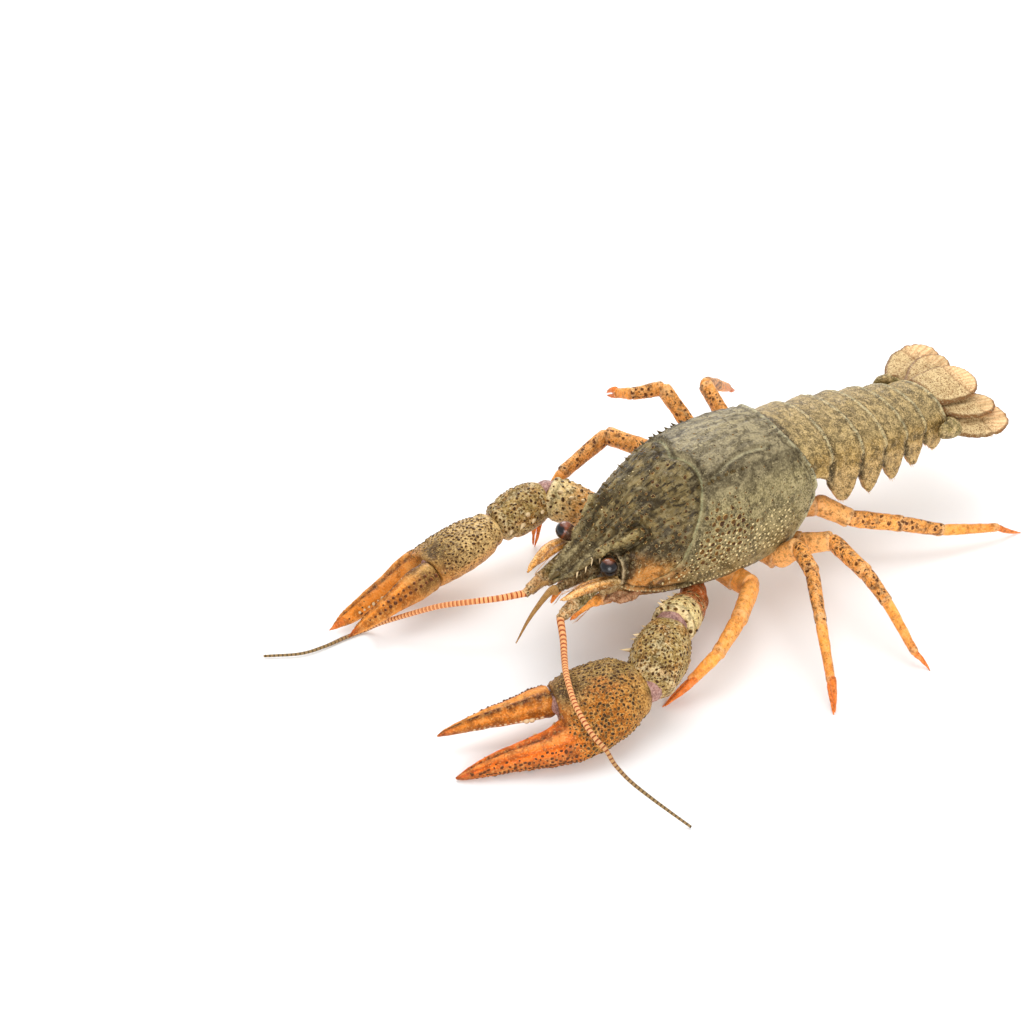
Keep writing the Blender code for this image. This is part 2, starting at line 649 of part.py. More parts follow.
def make_claws():
    for side, arm in ARMS.items():
        root, elbow, knee, _ = (Vector(point) for point in arm["joints"])

        def add_own_wrist(bm, clearance, arm=arm):
            add_wrist(bm, arm, clearance)

        bm = bmesh.new()
        add_tube(bm, (root, root.lerp(elbow, 0.6), elbow, elbow.lerp(knee, 0.35), elbow.lerp(knee, 0.75),
                      elbow.lerp(knee, 0.96)), ARM_RADII, ARM_SIDES)
        cut_back(make_object(f"claw_{side}_arm", bm, "claw"), add_carapace, add_own_wrist)

        bm = bmesh.new()
        add_wrist(bm, arm)
        make_object(f"claw_{side}_wrist", bm, "claw")

        place = claw_matrix(side, arm)
        bm = bmesh.new()
        add_loft(bm, claw_rings(PALM_STATIONS, place, 9))
        palm = make_object(f"claw_{side}_palm", bm, "claw")
        finger = bmesh.new()
        add_loft(finger, claw_rings(FIXED_FINGER_STATIONS, place, 10))
        combine(palm, finger, "UNION")
        cut_back(palm, add_own_wrist)

        hinge = Matrix.Translation((*MOVING_FINGER_HINGE, 0.0)) @ Matrix.Rotation(
            math.radians(-arm["opening"]), 4, "Z")
        bm = bmesh.new()
        add_loft(bm, claw_rings(MOVING_FINGER_STATIONS, place @ hinge, 10))
        make_object(f"claw_{side}_finger", bm, "claw")


def make_eyes():
    for side, name in ((1.0, "eye_left"), (-1.0, "eye_right")):
        centre = Vector((side * EYE_CENTRE[0], EYE_CENTRE[1], EYE_CENTRE[2]))
        root = Vector((side * EYE_STALK_ROOT[0], EYE_STALK_ROOT[1], EYE_STALK_ROOT[2]))
        bm = bmesh.new()
        bmesh.ops.create_uvsphere(bm, u_segments=14, v_segments=9, radius=EYE_RADIUS,
                                  matrix=Matrix.Translation(centre))
        eye = make_object(name, bm, "eye")
        stalk = bmesh.new()
        add_tube(stalk, (root, root.lerp(centre, 0.6), centre.lerp(root, 0.1)), (1.1, 1.2, 1.5), 10)
        combine(eye, stalk, "UNION")
        cut_back(eye, add_carapace, add_rostrum)


def make_feelers():
    for side, name in ((1.0, "left"), (-1.0, "right")):
        route = smooth_route(WHIPS[name], WHIP_POINTS)
        base = Vector((side * FEELER_BASE[0], FEELER_BASE[1], FEELER_BASE[2]))
        stem = [base.lerp(route[0], part) for part in (0.0, 0.45, 0.85)]
        taper = [WHIP_RADIUS + (WHIP_TIP_RADIUS - WHIP_RADIUS) * index / (WHIP_POINTS - 1)
                 for index in range(WHIP_POINTS)]
        bm = bmesh.new()
        add_tube(bm, stem + route, [1.8, 1.7, 1.4] + taper, 6)
        cut_back(make_object(f"feeler_{name}", bm, "feeler"), add_carapace)


def make_head_parts():
    """Makes the scales beside the rostrum, the short feelers under it and the jaw legs."""
    for side, name in ((1.0, "left"), (-1.0, "right")):
        for part_name, points, radii, flat, colour in HEAD_PARTS:
            route = smooth_route([(side * x, y, z) for x, y, z in points], len(radii))
            bm = bmesh.new()
            add_tube(bm, route, radii, 8, flat)
            cut_back(make_object(f"{part_name}_{name}", bm, colour), add_carapace, add_rostrum)


def centre_on_origin():
    """Moves the whole animal so that the middle of its footprint is the origin."""
    low = Vector((1e9, 1e9, 1e9))
    high = -low
    for obj in bpy.context.scene.objects:
        for vert in obj.data.vertices:
            low = Vector(map(min, low, vert.co))
            high = Vector(map(max, high, vert.co))
    shift = Matrix.Translation((-(low.x + high.x) * 0.5, -(low.y + high.y) * 0.5, -low.z))
    for obj in bpy.context.scene.objects:
        obj.data.transform(shift)


def main():
    for obj in list(bpy.data.objects):
        bpy.data.objects.remove(obj)
    make_cephalothorax()
    make_abdomen()
    make_tail_fan()
    make_legs()
    make_claws()
    make_eyes()
    make_feelers()
    make_head_parts()
    make_swimmerets()
    centre_on_origin()


main()
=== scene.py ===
"""A whole crayfish with its grooves, granules, spines, ringed feelers and mottled colours, on a pale floor.

Sizes in the tables below are millimetres in the animal's own frame: its head points towards -Y, its
left side is +X, y = 0 is the middle of the carapace's rear edge and z = 0 is the ground.
"""

import math

import bmesh
import bpy
import numpy as np
from bpy.props import FloatProperty, FloatVectorProperty, IntProperty, PointerProperty
from mathutils import Matrix, Vector, noise
from mathutils.bvhtree import BVHTree


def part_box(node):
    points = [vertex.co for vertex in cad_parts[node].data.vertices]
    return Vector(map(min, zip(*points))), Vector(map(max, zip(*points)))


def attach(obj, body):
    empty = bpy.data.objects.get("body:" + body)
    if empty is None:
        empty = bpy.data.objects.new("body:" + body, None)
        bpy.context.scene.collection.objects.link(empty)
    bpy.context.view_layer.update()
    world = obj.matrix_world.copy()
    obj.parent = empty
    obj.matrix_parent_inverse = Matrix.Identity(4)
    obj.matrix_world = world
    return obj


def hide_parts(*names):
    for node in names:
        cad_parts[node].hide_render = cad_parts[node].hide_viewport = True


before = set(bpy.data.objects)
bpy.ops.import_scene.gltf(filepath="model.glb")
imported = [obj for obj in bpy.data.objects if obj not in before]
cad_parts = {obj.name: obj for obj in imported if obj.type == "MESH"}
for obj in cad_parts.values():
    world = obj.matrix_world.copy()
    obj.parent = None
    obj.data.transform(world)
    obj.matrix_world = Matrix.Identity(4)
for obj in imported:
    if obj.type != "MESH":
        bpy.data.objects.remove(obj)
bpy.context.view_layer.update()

bl_info = {
    "name": "Crayfish",
    "version": (1, 0, 0),
    "blender": (4, 5, 0),
    "location": "View3D > Sidebar > Crayfish",
    "description": "Dresses a crayfish with relief, granules, spines and mottled colours",
    "category": "Add Mesh",
}

MM = 0.001
SIGNS = {"left": 1.0, "right": -1.0}

# Sizes of the even faces of each part's skin, and the radius of a fringe's hairs, in millimetres.
TAIL_FACE = 0.28
FAN_FACE = 0.26
CLAW_FACE = 0.3
FINGER_FACE = 0.27
SKIN_FACE = 0.32
HEAD_FACE = 0.22
HAIR_RADIUS = 0.07

# Where the animal's own frame lies: its beak's tip and its middle plane are read from the carapace.
BEAK_Y = -57.1
BODY_LOW, BODY_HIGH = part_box("cephalothorax")
UP = Vector((0.0, 0.0, 1.0))
ORIGIN = Vector(((BODY_LOW.x + BODY_HIGH.x) / 2, BODY_LOW.y - BEAK_Y * MM, 0.0))

# Carapace routes on its left side, mirrored for the right.
NECK_GROOVE = ((0.0, -26.8, 39.2), (2.2, -25.5, 39.2), (4.6, -24.7, 38.9), (6.6, -24.5, 38.2),
               (8.9, -24.8, 36.7), (10.6, -25.8, 34.8), (11.8, -26.8, 32.6), (12.7, -28.2, 29.6),
               (13.2, -30.2, 25.3), (12.9, -31.9, 21.6), (12.1, -34.3, 18.9), (10.9, -37.8, 17.2))
GILL_GROOVE = ((9.6, -22.6, 36.9), (9.2, -20.5, 37.5), (8.5, -18.0, 38.1), (8.0, -14.1, 38.5),
               (7.9, -10.8, 38.3), (8.2, -7.0, 37.8))
BEAK_MARGIN = ((5.4, -36.0, 33.6), (5.4, -38.5, 32.3), (5.0, -43.0, 28.6), (4.1, -47.0, 25.4),
               (3.2, -51.5, 22.5), (2.1, -54.6, 20.8), (0.7, -56.6, 19.6))
BROW_RIDGE = ((4.6, -47.2, 25.0), (5.3, -45.5, 26.2), (6.2, -42.8, 27.6), (7.4, -40.2, 29.2))
BROW_GROOVE = ((6.4, -46.0, 24.8), (7.4, -43.6, 25.8), (8.6, -40.8, 27.4), (9.2, -38.6, 28.8))
ORBIT_RIM = ((6.6, -46.2, 25.4), (8.2, -45.4, 24.2), (8.9, -44.8, 21.8), (8.6, -44.6, 19.4),
             (7.8, -44.8, 17.4))
FRONT_EDGE = ((8.6, -44.6, 16.6), (10.2, -41.5, 15.2), (12.0, -36.0, 13.8), (13.0, -30.0, 12.8))
LOWER_EDGE = ((8.6, -44.4, 16.9), (10.2, -41.3, 15.5), (12.2, -35.6, 14.2), (13.6, -26.0, 13.6),
              (14.4, -14.0, 13.4))
CHEEK = (11.4, -40.4, 18.4)

# Thorns behind the eyes: foot, tilt, radius and length; and the feet of the spines under the beak.
HEAD_THORNS = (((6.6, -41.6, 28.4), (0.0, -1.6, 0.4), 0.6, 1.5), ((12.4, -30.2, 26.4), (0.4, -1.4, 0.0), 0.5, 1.2),
               ((12.6, -31.8, 21.8), (0.4, -1.4, 0.0), 0.45, 1.0))
BEAK_SPINES = ((4.3, -47.2, 24.4), (4.0, -48.7, 23.5), (3.7, -50.2, 22.7), (3.2, -52.0, 21.6))
SPINE_PROFILE = ((-0.5, 1.0), (0.0, 1.0), (0.35, 0.62), (0.7, 0.3), (1.0, 0.04))
SPINE_TIP = 0.75

CARAPACE_TOP = 37.8
CARAPACE_EDGE = 13.2
REAR_BULGE = 5.0
REAR_TUCK = 1.4

# Tail plates: y of each rear edge on the back, and the slope and start of the tail.
TAIL_PITCH = math.radians(12.0)
TAIL_START = (0.6, 36.5)
PLATE_REARS = (10.0, 18.6, 25.6, 32.4, 38.8, 45.6)
PLATE_HALF_WIDTHS = (11.3, 11.5, 11.1, 10.3, 9.3, 8.0)
PLATE_LOBES = (8.4, 15.6, 14.9, 13.4, 11.6, 9.4)
LOBE_LEANS = (1.6, 2.1, 2.5, 2.7, 2.9, 3.0)
LOBE_FULLNESS = 0.5
LOBE_SHIFT = 1.1
LOBE_FLARE = 0.9
TAIL_DEPTHS = (11.0, 7.0)
PLATE_RINGS = 30

# Tail fan: root, outward turn in degrees, length and half width of each blade.
FAN_BLADES = {
    "telson": ((0.0, 46.9, 25.9), 0.0, 13.4, 6.0),
    "tail_blade_left_inner": ((5.0, 47.6, 24.1), 12.0, 13.4, 4.3),
    "tail_blade_left_outer": ((7.2, 45.8, 22.2), 13.0, 16.9, 6.4),
    "tail_blade_right_inner": ((-5.2, 47.6, 24.1), -16.0, 13.4, 4.3),
    "tail_blade_right_outer": ((-8.9, 45.2, 22.6), -16.5, 17.2, 5.7),
}
ROOT_STRETCH = {"telson": 1.5, "tail_blade_right_inner": 1.6}

# Claws: joints from the body to the wrist, then heading, pitch, roll, opening and girth.
ARMS = {
    "left": dict(joints=((8.5, -25.5, 9.4), (14.6, -30.2, 10.8), (21.4, -41.6, 14.2), (30.0, -53.8, 9.8)),
                 heading=-19.0, pitch=-9.5, roll=22.0, opening=-1.0, girth=1.0),
    "right": dict(joints=((-8.5, -25.5, 9.4), (-16.0, -27.6, 12.4), (-28.6, -37.4, 15.8),
                          (-29.9, -50.4, 12.2)),
                  heading=4.4, pitch=-11.0, roll=30.0, opening=3.0, girth=0.92),
}
PALM_STATIONS = (
    (0.0, -3.2, 2.6, 5.0),
    (1.6, -5.8, 4.6, 7.2),
    (5.0, -8.6, 7.2, 9.2),
    (10.0, -9.2, 9.2, 10.0),
    (15.0, -8.8, 10.3, 9.6),
    (19.0, -7.6, 10.6, 8.4),
)
FIXED_FINGER_STATIONS = (
    (17.0, -0.4, 10.4, 8.4),
    (22.0, 1.9, 10.0, 7.4),
    (27.0, 2.6, 9.0, 6.4),
    (32.0, 3.0, 8.1, 5.4),
    (37.0, 3.8, 7.3, 4.2),
    (41.0, 4.9, 6.7, 2.4),
    (43.0, 5.6, 6.1, 0.9),
)
MOVING_FINGER_HINGE = (19.4, -4.2)
MOVING_FINGER_STATIONS = (
    (0.0, -3.0, 3.2, 6.0),
    (3.4, -3.3, 3.1, 6.6),
    (8.0, -2.7, 2.4, 6.0),
    (13.0, -2.4, 1.5, 5.2),
    (18.0, -1.9, 0.7, 3.9),
    (22.6, -1.2, 0.0, 2.2),
    (24.4, -0.6, -0.2, 0.8),
)
CLAW_SIDES = 40
CLAW_RINGS = 60

# Radius of each tooth or tubercle along the edges of the fingers, from the palm to the tip.
OUTER_TEETH = [0.42] * 14 + [0.36, 0.32, 0.28, 0.24, 0.2, 0.16]
FIXED_TEETH = [0.75, 0.7, 0.65, 0.75, 0.85, 0.7, 0.6] + [0.5] * 7 + [0.42, 0.38, 0.34, 0.3, 0.26, 0.22]
MOVING_TEETH = [0.6, 0.65, 0.75, 0.85, 0.7, 0.6, 0.5] + [0.45] * 7 + [0.4, 0.36, 0.3, 0.26, 0.22, 0.18]
UPPER_TUBERCLES = [0.55] * 10 + [0.5, 0.45, 0.4, 0.34, 0.28, 0.22]

# Spines of the wrist and the arm: share of the way along, length, height, and for the arm which side.
WRIST_SPINES = ((0.3, 1.5, 1.0), (0.5, 2.0, 0.6), (0.7, 2.6, 0.9), (0.88, 1.8, 0.2), (0.6, 1.4, 3.2))
ARM_SPINES = ((0.78, 1.5, 2.6, 1.0), (0.92, 1.9, 3.2, 1.0), (0.6, 1.2, 3.4, 1.0), (0.4, 1.1, 3.2, 1.0),
              (0.93, 2.3, -2.4, -1.0), (0.9, 1.6, 0.2, -1.0), (0.7, 1.2, -1.6, -1.0))

# Walking legs: joints from inside the body outward, and the radius at each.
LEG_RADII = (2.4, 2.5, 2.0, 1.75, 1.35, 1.0, 0.3)
LEGS = {
    "leg_left_1": ((6.0, -19.0, 11.4), (12.4, -16.5, 9.6), (17.6, -17.0, 11.2), (24.3, -25.8, 10.6),
                   (28.4, -34.6, 8.4), (28.4, -41.4, 4.4), (27.5, -47.8, 0.0)),
    "leg_left_2": ((6.0, -8.0, 11.4), (12.4, -5.6, 10.4), (17.6, -4.4, 16.0), (25.7, -7.5, 16.0),
                   (36.7, -14.2, 13.0), (45.6, -18.3, 5.0), (49.6, -20.5, 0.0)),
    "leg_left_3": ((6.0, -3.4, 12.0), (12.4, 0.8, 11.4), (18.0, 4.8, 14.0), (29.7, 4.3, 13.0),
                   (37.0, 4.1, 10.0), (47.0, 3.8, 3.0), (50.6, 5.1, 0.0)),
    "leg_left_4": ((3.2, 0.0, 13.6), (6.6, 9.6, 15.0), (11.6, 15.6, 11.4), (17.6, 25.8, 9.2),
                   (21.4, 34.5, 6.0), (25.6, 47.6, 3.6), (26.8, 54.1, 0.0)),
    "leg_right_1": ((-6.0, -15.0, 11.4), (-12.6, -12.0, 9.8), (-19.4, -10.5, 20.4), (-34.0, -17.0, 20.4),
                    (-33.4, -29.6, 15.6), (-32.6, -36.2, 8.0), (-31.6, -38.2, 0.0)),
    "leg_right_2": ((-6.0, -8.0, 11.4), (-12.6, -5.0, 10.2), (-19.0, -2.2, 21.4), (-30.6, -4.2, 30.0),
                    (-35.0, -9.4, 28.0), (-39.6, -10.2, 26.0), (-42.5, -10.7, 24.0)),
    "leg_right_3": ((-6.0, -3.8, 12.2), (-12.4, 2.0, 12.2), (-17.0, 5.4, 21.8), (-28.6, 6.2, 28.0),
                    (-33.0, 13.4, 22.6), (-38.4, 21.4, 15.8), (-41.0, 25.6, 12.0)),
    "leg_right_4": ((-3.2, 0.0, 13.6), (-6.6, 9.6, 15.0), (-11.6, 15.6, 11.4), (-17.6, 25.8, 9.2),
                    (-21.4, 34.5, 6.0), (-25.6, 47.6, 3.6), (-26.8, 54.1, 0.0)),
}
PINCER_LEGS = ("leg_left_1", "leg_left_2", "leg_right_1", "leg_right_2")

# Feelers: points along each whip from its base.
WHIPS = {
    "left": ((7.0, -59.3, 15.3), (13.7, -63.4, 16.2), (19.9, -67.6, 17.4), (25.7, -71.2, 18.2),
             (32.9, -74.3, 17.6), (39.2, -75.2, 15.6), (43.1, -74.4, 13.5), (45.4, -73.8, 11.0),
             (48.4, -72.3, 8.2), (51.9, -70.0, 5.4), (55.3, -67.6, 2.8), (58.9, -65.4, 0.6)),
    "right": ((-4.8, -59.6, 14.3), (-6.8, -64.8, 14.0), (-10.4, -70.0, 13.0), (-14.7, -74.6, 11.2),
              (-19.5, -79.0, 7.9), (-25.2, -82.9, 3.4), (-27.8, -85.1, 0.9), (-28.4, -90.0, 0.6),
              (-28.4, -95.2, 0.6), (-29.2, -100.6, 0.7), (-32.9, -107.0, 0.6)),
}
EYE_CENTRE = (7.7, -47.6, 23.7)
EYE_RADIUS = 1.9
WHIP_BANDS = {"left": 1.8, "right": 1.0}
WHIP_BAND_FAR = 0.9


def animal(point):
    """A point of the animal's own frame, in millimetres, as a place in metres."""
    return ORIGIN + Vector(point) * MM


def ramp(low, high, value):
    part = np.clip((value - low) / (high - low), 0.0, 1.0)
    return part * part * (3.0 - 2.0 * part)


def bell(distance, width):
    return np.exp(-(distance / width) ** 2)


def smooth_table(table, place):
    """Reads a table of stations at a place between them, along a smooth curve."""
    rows = sorted(table)
    last = len(rows) - 1
    index = 0
    while index < last - 1 and place > rows[index + 1][0]:
        index += 1
    before = rows[max(index - 1, 0)]
    low = rows[index]
    high = rows[index + 1]
    after = rows[min(index + 2, last)]
    width = high[0] - low[0]
    part = min(max((place - low[0]) / width, 0.0), 1.0)
    square = part * part
    cube = square * part
    result = []
    for column in range(1, len(low)):
        slope_low = (high[column] - before[column]) / max(high[0] - before[0], 1e-9) * width
        slope_high = (after[column] - low[column]) / max(after[0] - low[0], 1e-9) * width
        result.append((2 * cube - 3 * square + 1) * low[column] + (cube - 2 * square + part) * slope_low
                      + (3 * square - 2 * cube) * high[column] + (cube - square) * slope_high)
    return result


def smooth_route(points, count):
    """Spreads points evenly by number along a smooth curve through the given ones."""
    table = [(float(index),) + tuple(point) for index, point in enumerate(points)]
    last = len(points) - 1
    return [Vector(smooth_table(table, last * step / (count - 1))) for step in range(count)]


def smooth_numbers(values, count):
    """Spreads a row of numbers over a larger count along a smooth curve."""
    table = [(float(index), value) for index, value in enumerate(values)]
    last = len(values) - 1
    return [smooth_table(table, last * step / (count - 1))[0] for step in range(count)]


def route_distance(places, route, mirrored=True):
    """Distance of each place to a route, and how far along the route its nearest point is, from 0 to 1."""
    here = places.copy()
    if mirrored:
        here[:, 0] = np.abs(here[:, 0])
    points = np.array([tuple(point) for point in smooth_route(route, 4 * len(route))])
    nearest = np.full(len(here), 1e9)
    along = np.zeros(len(here))
    for index in range(len(points) - 1):
        step = points[index + 1] - points[index]
        part = np.clip(((here - points[index]) @ step) / max(step @ step, 1e-9), 0.0, 1.0)
        gap = np.linalg.norm(here - (points[index] + part[:, None] * step), axis=1)
        closer = gap < nearest
        nearest[closer] = gap[closer]
        along[closer] = (index + part[closer]) / (len(points) - 1)
    return nearest, along


def lumps(places, size, seed, octaves=3):
    """Smooth noise of about one to minus one over a list of places, with lumps of the given size."""
    shift = Vector((seed * 17.3, seed * 5.1, seed * 9.7))
    return np.array([noise.fractal(Vector(place) / size + shift, 1.0, 2.0, octaves) for place in places])


def read_places(mesh):
    """The places, in the animal's millimetres, and the normals of a mesh's vertices."""
    places = np.empty(len(mesh.vertices) * 3)
    mesh.vertices.foreach_get("co", places)
    normals = np.empty(len(mesh.vertices) * 3)
    mesh.vertices.foreach_get("normal", normals)
    return (places.reshape(-1, 3) - np.array(ORIGIN)) / MM, normals.reshape(-1, 3)


def write_places(mesh, places):
    mesh.vertices.foreach_set("co", (places * MM + np.array(ORIGIN)).ravel())
    mesh.update()


def put_value(mesh, name, values):
    attribute = mesh.attributes.get(name) or mesh.attributes.new(name, "FLOAT", "POINT")
    attribute.data.foreach_set("value", np.asarray(values, np.float32))


def dress(mesh, marks, ground, *coats):
    """Stores at each vertex how strongly a skin is speckled, and its tint: coats laid over a ground by masks."""
    count = len(mesh.vertices)
    tint = np.tile(np.array(tuple(ground)[:3], float), (count, 1))
    for colour, mask in coats:
        mask = np.clip(mask, 0.0, 1.0)[:, None]
        tint = tint * (1.0 - mask) + np.array(tuple(colour)[:3]) * mask
    colours = np.ones((count, 4), np.float32)
    colours[:, :3] = np.clip(tint, 0.0, 1.0)
    mesh.attributes.new("tint", "FLOAT_COLOR", "POINT").data.foreach_set("color", colours.ravel())
    put_value(mesh, "marks", np.clip(marks, 0.0, 1.0))


def object_from(name, mesh):
    obj = bpy.data.objects.new(name, mesh)
    bpy.context.scene.collection.objects.link(obj)
    return obj


def object_from_bmesh(name, bm):
    mesh = bpy.data.meshes.new(name)
    bm.to_mesh(mesh)
    bm.free()
    return object_from(name, mesh)


def settle(obj):
    """Applies an object's modifiers and leaves it as a plain mesh."""
    graph = bpy.context.evaluated_depsgraph_get()
    mesh = bpy.data.meshes.new_from_object(obj.evaluated_get(graph), depsgraph=graph)
    old = obj.data
    obj.modifiers.clear()
    obj.data = mesh
    if old.users == 0:
        bpy.data.meshes.remove(old)
    mesh.shade_smooth()
    return obj


def merged_copy(node):
    """A copy of a CAD node's mesh with its loose triangles joined, as a bmesh."""
    bm = bmesh.new()
    bm.from_mesh(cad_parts[node].data)
    bmesh.ops.remove_doubles(bm, verts=bm.verts, dist=1e-6)
    return bm


def fine_skin(name, bm, face, rounds, level=0):
    """Rebuilds a closed mesh with small even faces, rounds it off, and reads its places and normals."""
    obj = object_from_bmesh(name, bm)
    if level:
        divide = obj.modifiers.new("soften", "SUBSURF")
        divide.levels = level
        divide.render_levels = level
    even = obj.modifiers.new("even faces", "REMESH")
    even.mode = "VOXEL"
    even.voxel_size = face * MM
    rounding = obj.modifiers.new("rounding", "SMOOTH")
    rounding.factor = 0.5
    rounding.iterations = rounds
    settle(obj)
    return obj, *read_places(obj.data)


def add_loft(bm, rings):
    """Skins a row of rings in the animal's millimetres, all with the same number of points."""
    rows = [[bm.verts.new(animal(point)) for point in ring] for ring in rings]
    sides = len(rings[0])
    faces = []
    for near, far in zip(rows, rows[1:]):
        for side in range(sides):
            after = (side + 1) % sides
            faces.append(bm.faces.new((near[side], near[after], far[after], far[side])))
    for row, ring in ((rows[0], rings[0]), (rows[-1], rings[-1])):
        middle = bm.verts.new(animal(sum((Vector(point) for point in ring), Vector()) / sides))
        for side in range(sides):
            faces.append(bm.faces.new((row[side], row[(side + 1) % sides], middle)))
    bmesh.ops.recalc_face_normals(bm, faces=faces)


def path_frames(points):
    """Gives each point of a path its direction and two directions across it."""
    frames = []
    for index, point in enumerate(points):
        before = points[max(index - 1, 0)]
        after = points[min(index + 1, len(points) - 1)]
        along = (Vector(after) - Vector(before)).normalized()
        across = along.cross(UP).normalized()
        frames.append((Vector(point), along, across, across.cross(along).normalized()))
    return frames


def circle(sides):
    """Cosines and sines of angles spread evenly round a circle."""
    angles = [2.0 * math.pi * side / sides for side in range(sides)]
    return [(math.cos(angle), math.sin(angle)) for angle in angles]


def add_tube(bm, route, radii, count, sides, flat=1.0):
    """Adds a closed tube along a smooth route, its radii spread along it; flat squeezes it from above."""
    frames = path_frames(smooth_route(route, count))
    add_loft(bm, [[centre + across * (radius * x) + rise * (radius * flat * y) for x, y in circle(sides)]
                  for (centre, _, across, rise), radius in zip(frames, smooth_numbers(radii, count))])


def add_spine(bm, foot, direction, length, radius, sides=7):
    """Adds one pointed spine that stands on a foot point, with its root sunk below it."""
    direction = Vector(direction).normalized()
    side_way = direction.orthogonal().normalized()
    other_way = direction.cross(side_way)
    rings = []
    for height, share in SPINE_PROFILE:
        middle = Vector(foot) + direction * (length * height if height > 0 else radius * height)
        rings.append([middle + (side_way * x + other_way * y) * radius * share for x, y in circle(sides)])
    add_loft(bm, rings)


def mirrored(points, sign):
    return [(sign * x, y, z) for x, y, z in points]


def surface_tree(obj):
    """A search tree over an object's faces, in the animal's millimetres."""
    places, _ = read_places(obj.data)
    return BVHTree.FromPolygons([Vector(place) for place in places],
                                [tuple(face.vertices) for face in obj.data.polygons])


def finish_piece(obj, finish, slot, *nodes):
    """Gives a finished piece its material, and its place in the frame."""
    if finish is not None:
        obj.data.materials.clear()
        obj.data.materials.append(KIT[finish])
    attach(obj, "root")
    if nodes:
        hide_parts(*nodes)


def push_skin(obj, places, normals, push):
    """Moves each vertex of a skin along its normal, by millimetres."""
    write_places(obj.data, places + normals * push[:, None])


def half_places(places):
    """Places as they lie on the left half, where the right one is mirrored."""
    return np.column_stack((np.abs(places[:, 0]), places[:, 1], places[:, 2]))


def gap_from(places, point, reach=(1.0, 1.0, 1.0)):
    """Distance of places from a point, counted in the reach along each axis."""
    return np.linalg.norm((places - np.array(point)) / np.array(reach), axis=1)


class NodeSheet:
    """Places shader or geometry nodes in a tree and joins their sockets."""

    def __init__(self, tree):
        self.tree = tree

    def add(self, kind, settings=None, **inputs):
        node = self.tree.nodes.new(kind)
        for name, value in (settings or {}).items():
            setattr(node, name, value)
        for name, value in inputs.items():
            self.feed(node.inputs[name.replace("_", " ")], value)
        return node

    def feed(self, socket, value):
        if isinstance(value, bpy.types.NodeSocket):
            self.tree.links.new(value, socket)
        elif isinstance(value, bpy.types.Node):
            self.tree.links.new(value.outputs[0], socket)
        else:
            socket.default_value = value

    def feed_all(self, node, values):
        for label, value in values.items():
            self.feed(node.inputs[label], value)
        return node

    def math(self, operation, *values):
        node = self.add("ShaderNodeMath", {"operation": operation})
        return self.feed_all(node, dict(enumerate(values))).outputs[0]

    def times(self, *values):
        return self.math("MULTIPLY", *values)

    def span(self, value, low, high, to_low=0.0, to_high=1.0):
        """Maps a value's range to another one, smoothly and without overshoot."""
        node = self.add("ShaderNodeMapRange", {"interpolation_type": "SMOOTHSTEP"}, Value=value)
        limits = {"From Min": low, "From Max": high, "To Min": to_low, "To Max": to_high}
        return self.feed_all(node, limits).outputs["Result"]

    def mix(self, share, first, second):
        node = self.add("ShaderNodeMix", {"data_type": "RGBA"})
        return self.feed_all(node, {"Factor": share, 6: first, 7: second}).outputs[2]

    def noise(self, vector, scale, detail=3.0, roughness=0.55, distortion=0.0):
        return self.add("ShaderNodeTexNoise", Vector=vector, Scale=scale, Detail=detail,
                        Roughness=roughness, Distortion=distortion)

    def vector(self, operation, *values):
        node = self.add("ShaderNodeVectorMath", {"operation": operation})
        labels = (0, "Scale") if operation == "SCALE" else (0, 1)
        return self.feed_all(node, dict(zip(labels, values))).outputs[0]

    def place(self):
        return self.add("ShaderNodeTexCoord").outputs["Object"]

    def attribute(self, name, kind="Fac"):
        return self.add("ShaderNodeAttribute", {"attribute_name": name}).outputs[kind]

    def named(self, name, kind="FLOAT"):
        return self.add("GeometryNodeInputNamedAttribute", {"data_type": kind}, Name=name).outputs[0]

    def store(self, geometry, name, value):
        return self.add("GeometryNodeStoreNamedAttribute", {"data_type": "FLOAT", "domain": "POINT"},
                        Geometry=geometry, Name=name, Value=value).outputs[0]

    def random(self, low, high, seed):
        node = self.add("FunctionNodeRandomValue", {"data_type": "FLOAT"}, Seed=seed)
        return self.feed_all(node, {2: low, 3: high}).outputs[1]


def start_group(name, kind, inputs, outputs):
    """Starts a node group; an input is given by its default, or by its socket's kind where it has none."""
    tree = bpy.data.node_groups.new(name, kind)
    kinds = {float: "NodeSocketFloat", int: "NodeSocketInt", tuple: "NodeSocketColor"}
    for label, default in inputs.items():
        bare = isinstance(default, str)
        socket = tree.interface.new_socket(label, in_out="INPUT",
                                           socket_type=default if bare else kinds[type(default)])
        if not bare:
            socket.default_value = default
    for label, socket_type in outputs.items():
        tree.interface.new_socket(label, in_out="OUTPUT", socket_type=socket_type)
    sheet = NodeSheet(tree)
    return tree, sheet, sheet.add("NodeGroupInput").outputs, sheet.add("NodeGroupOutput").inputs


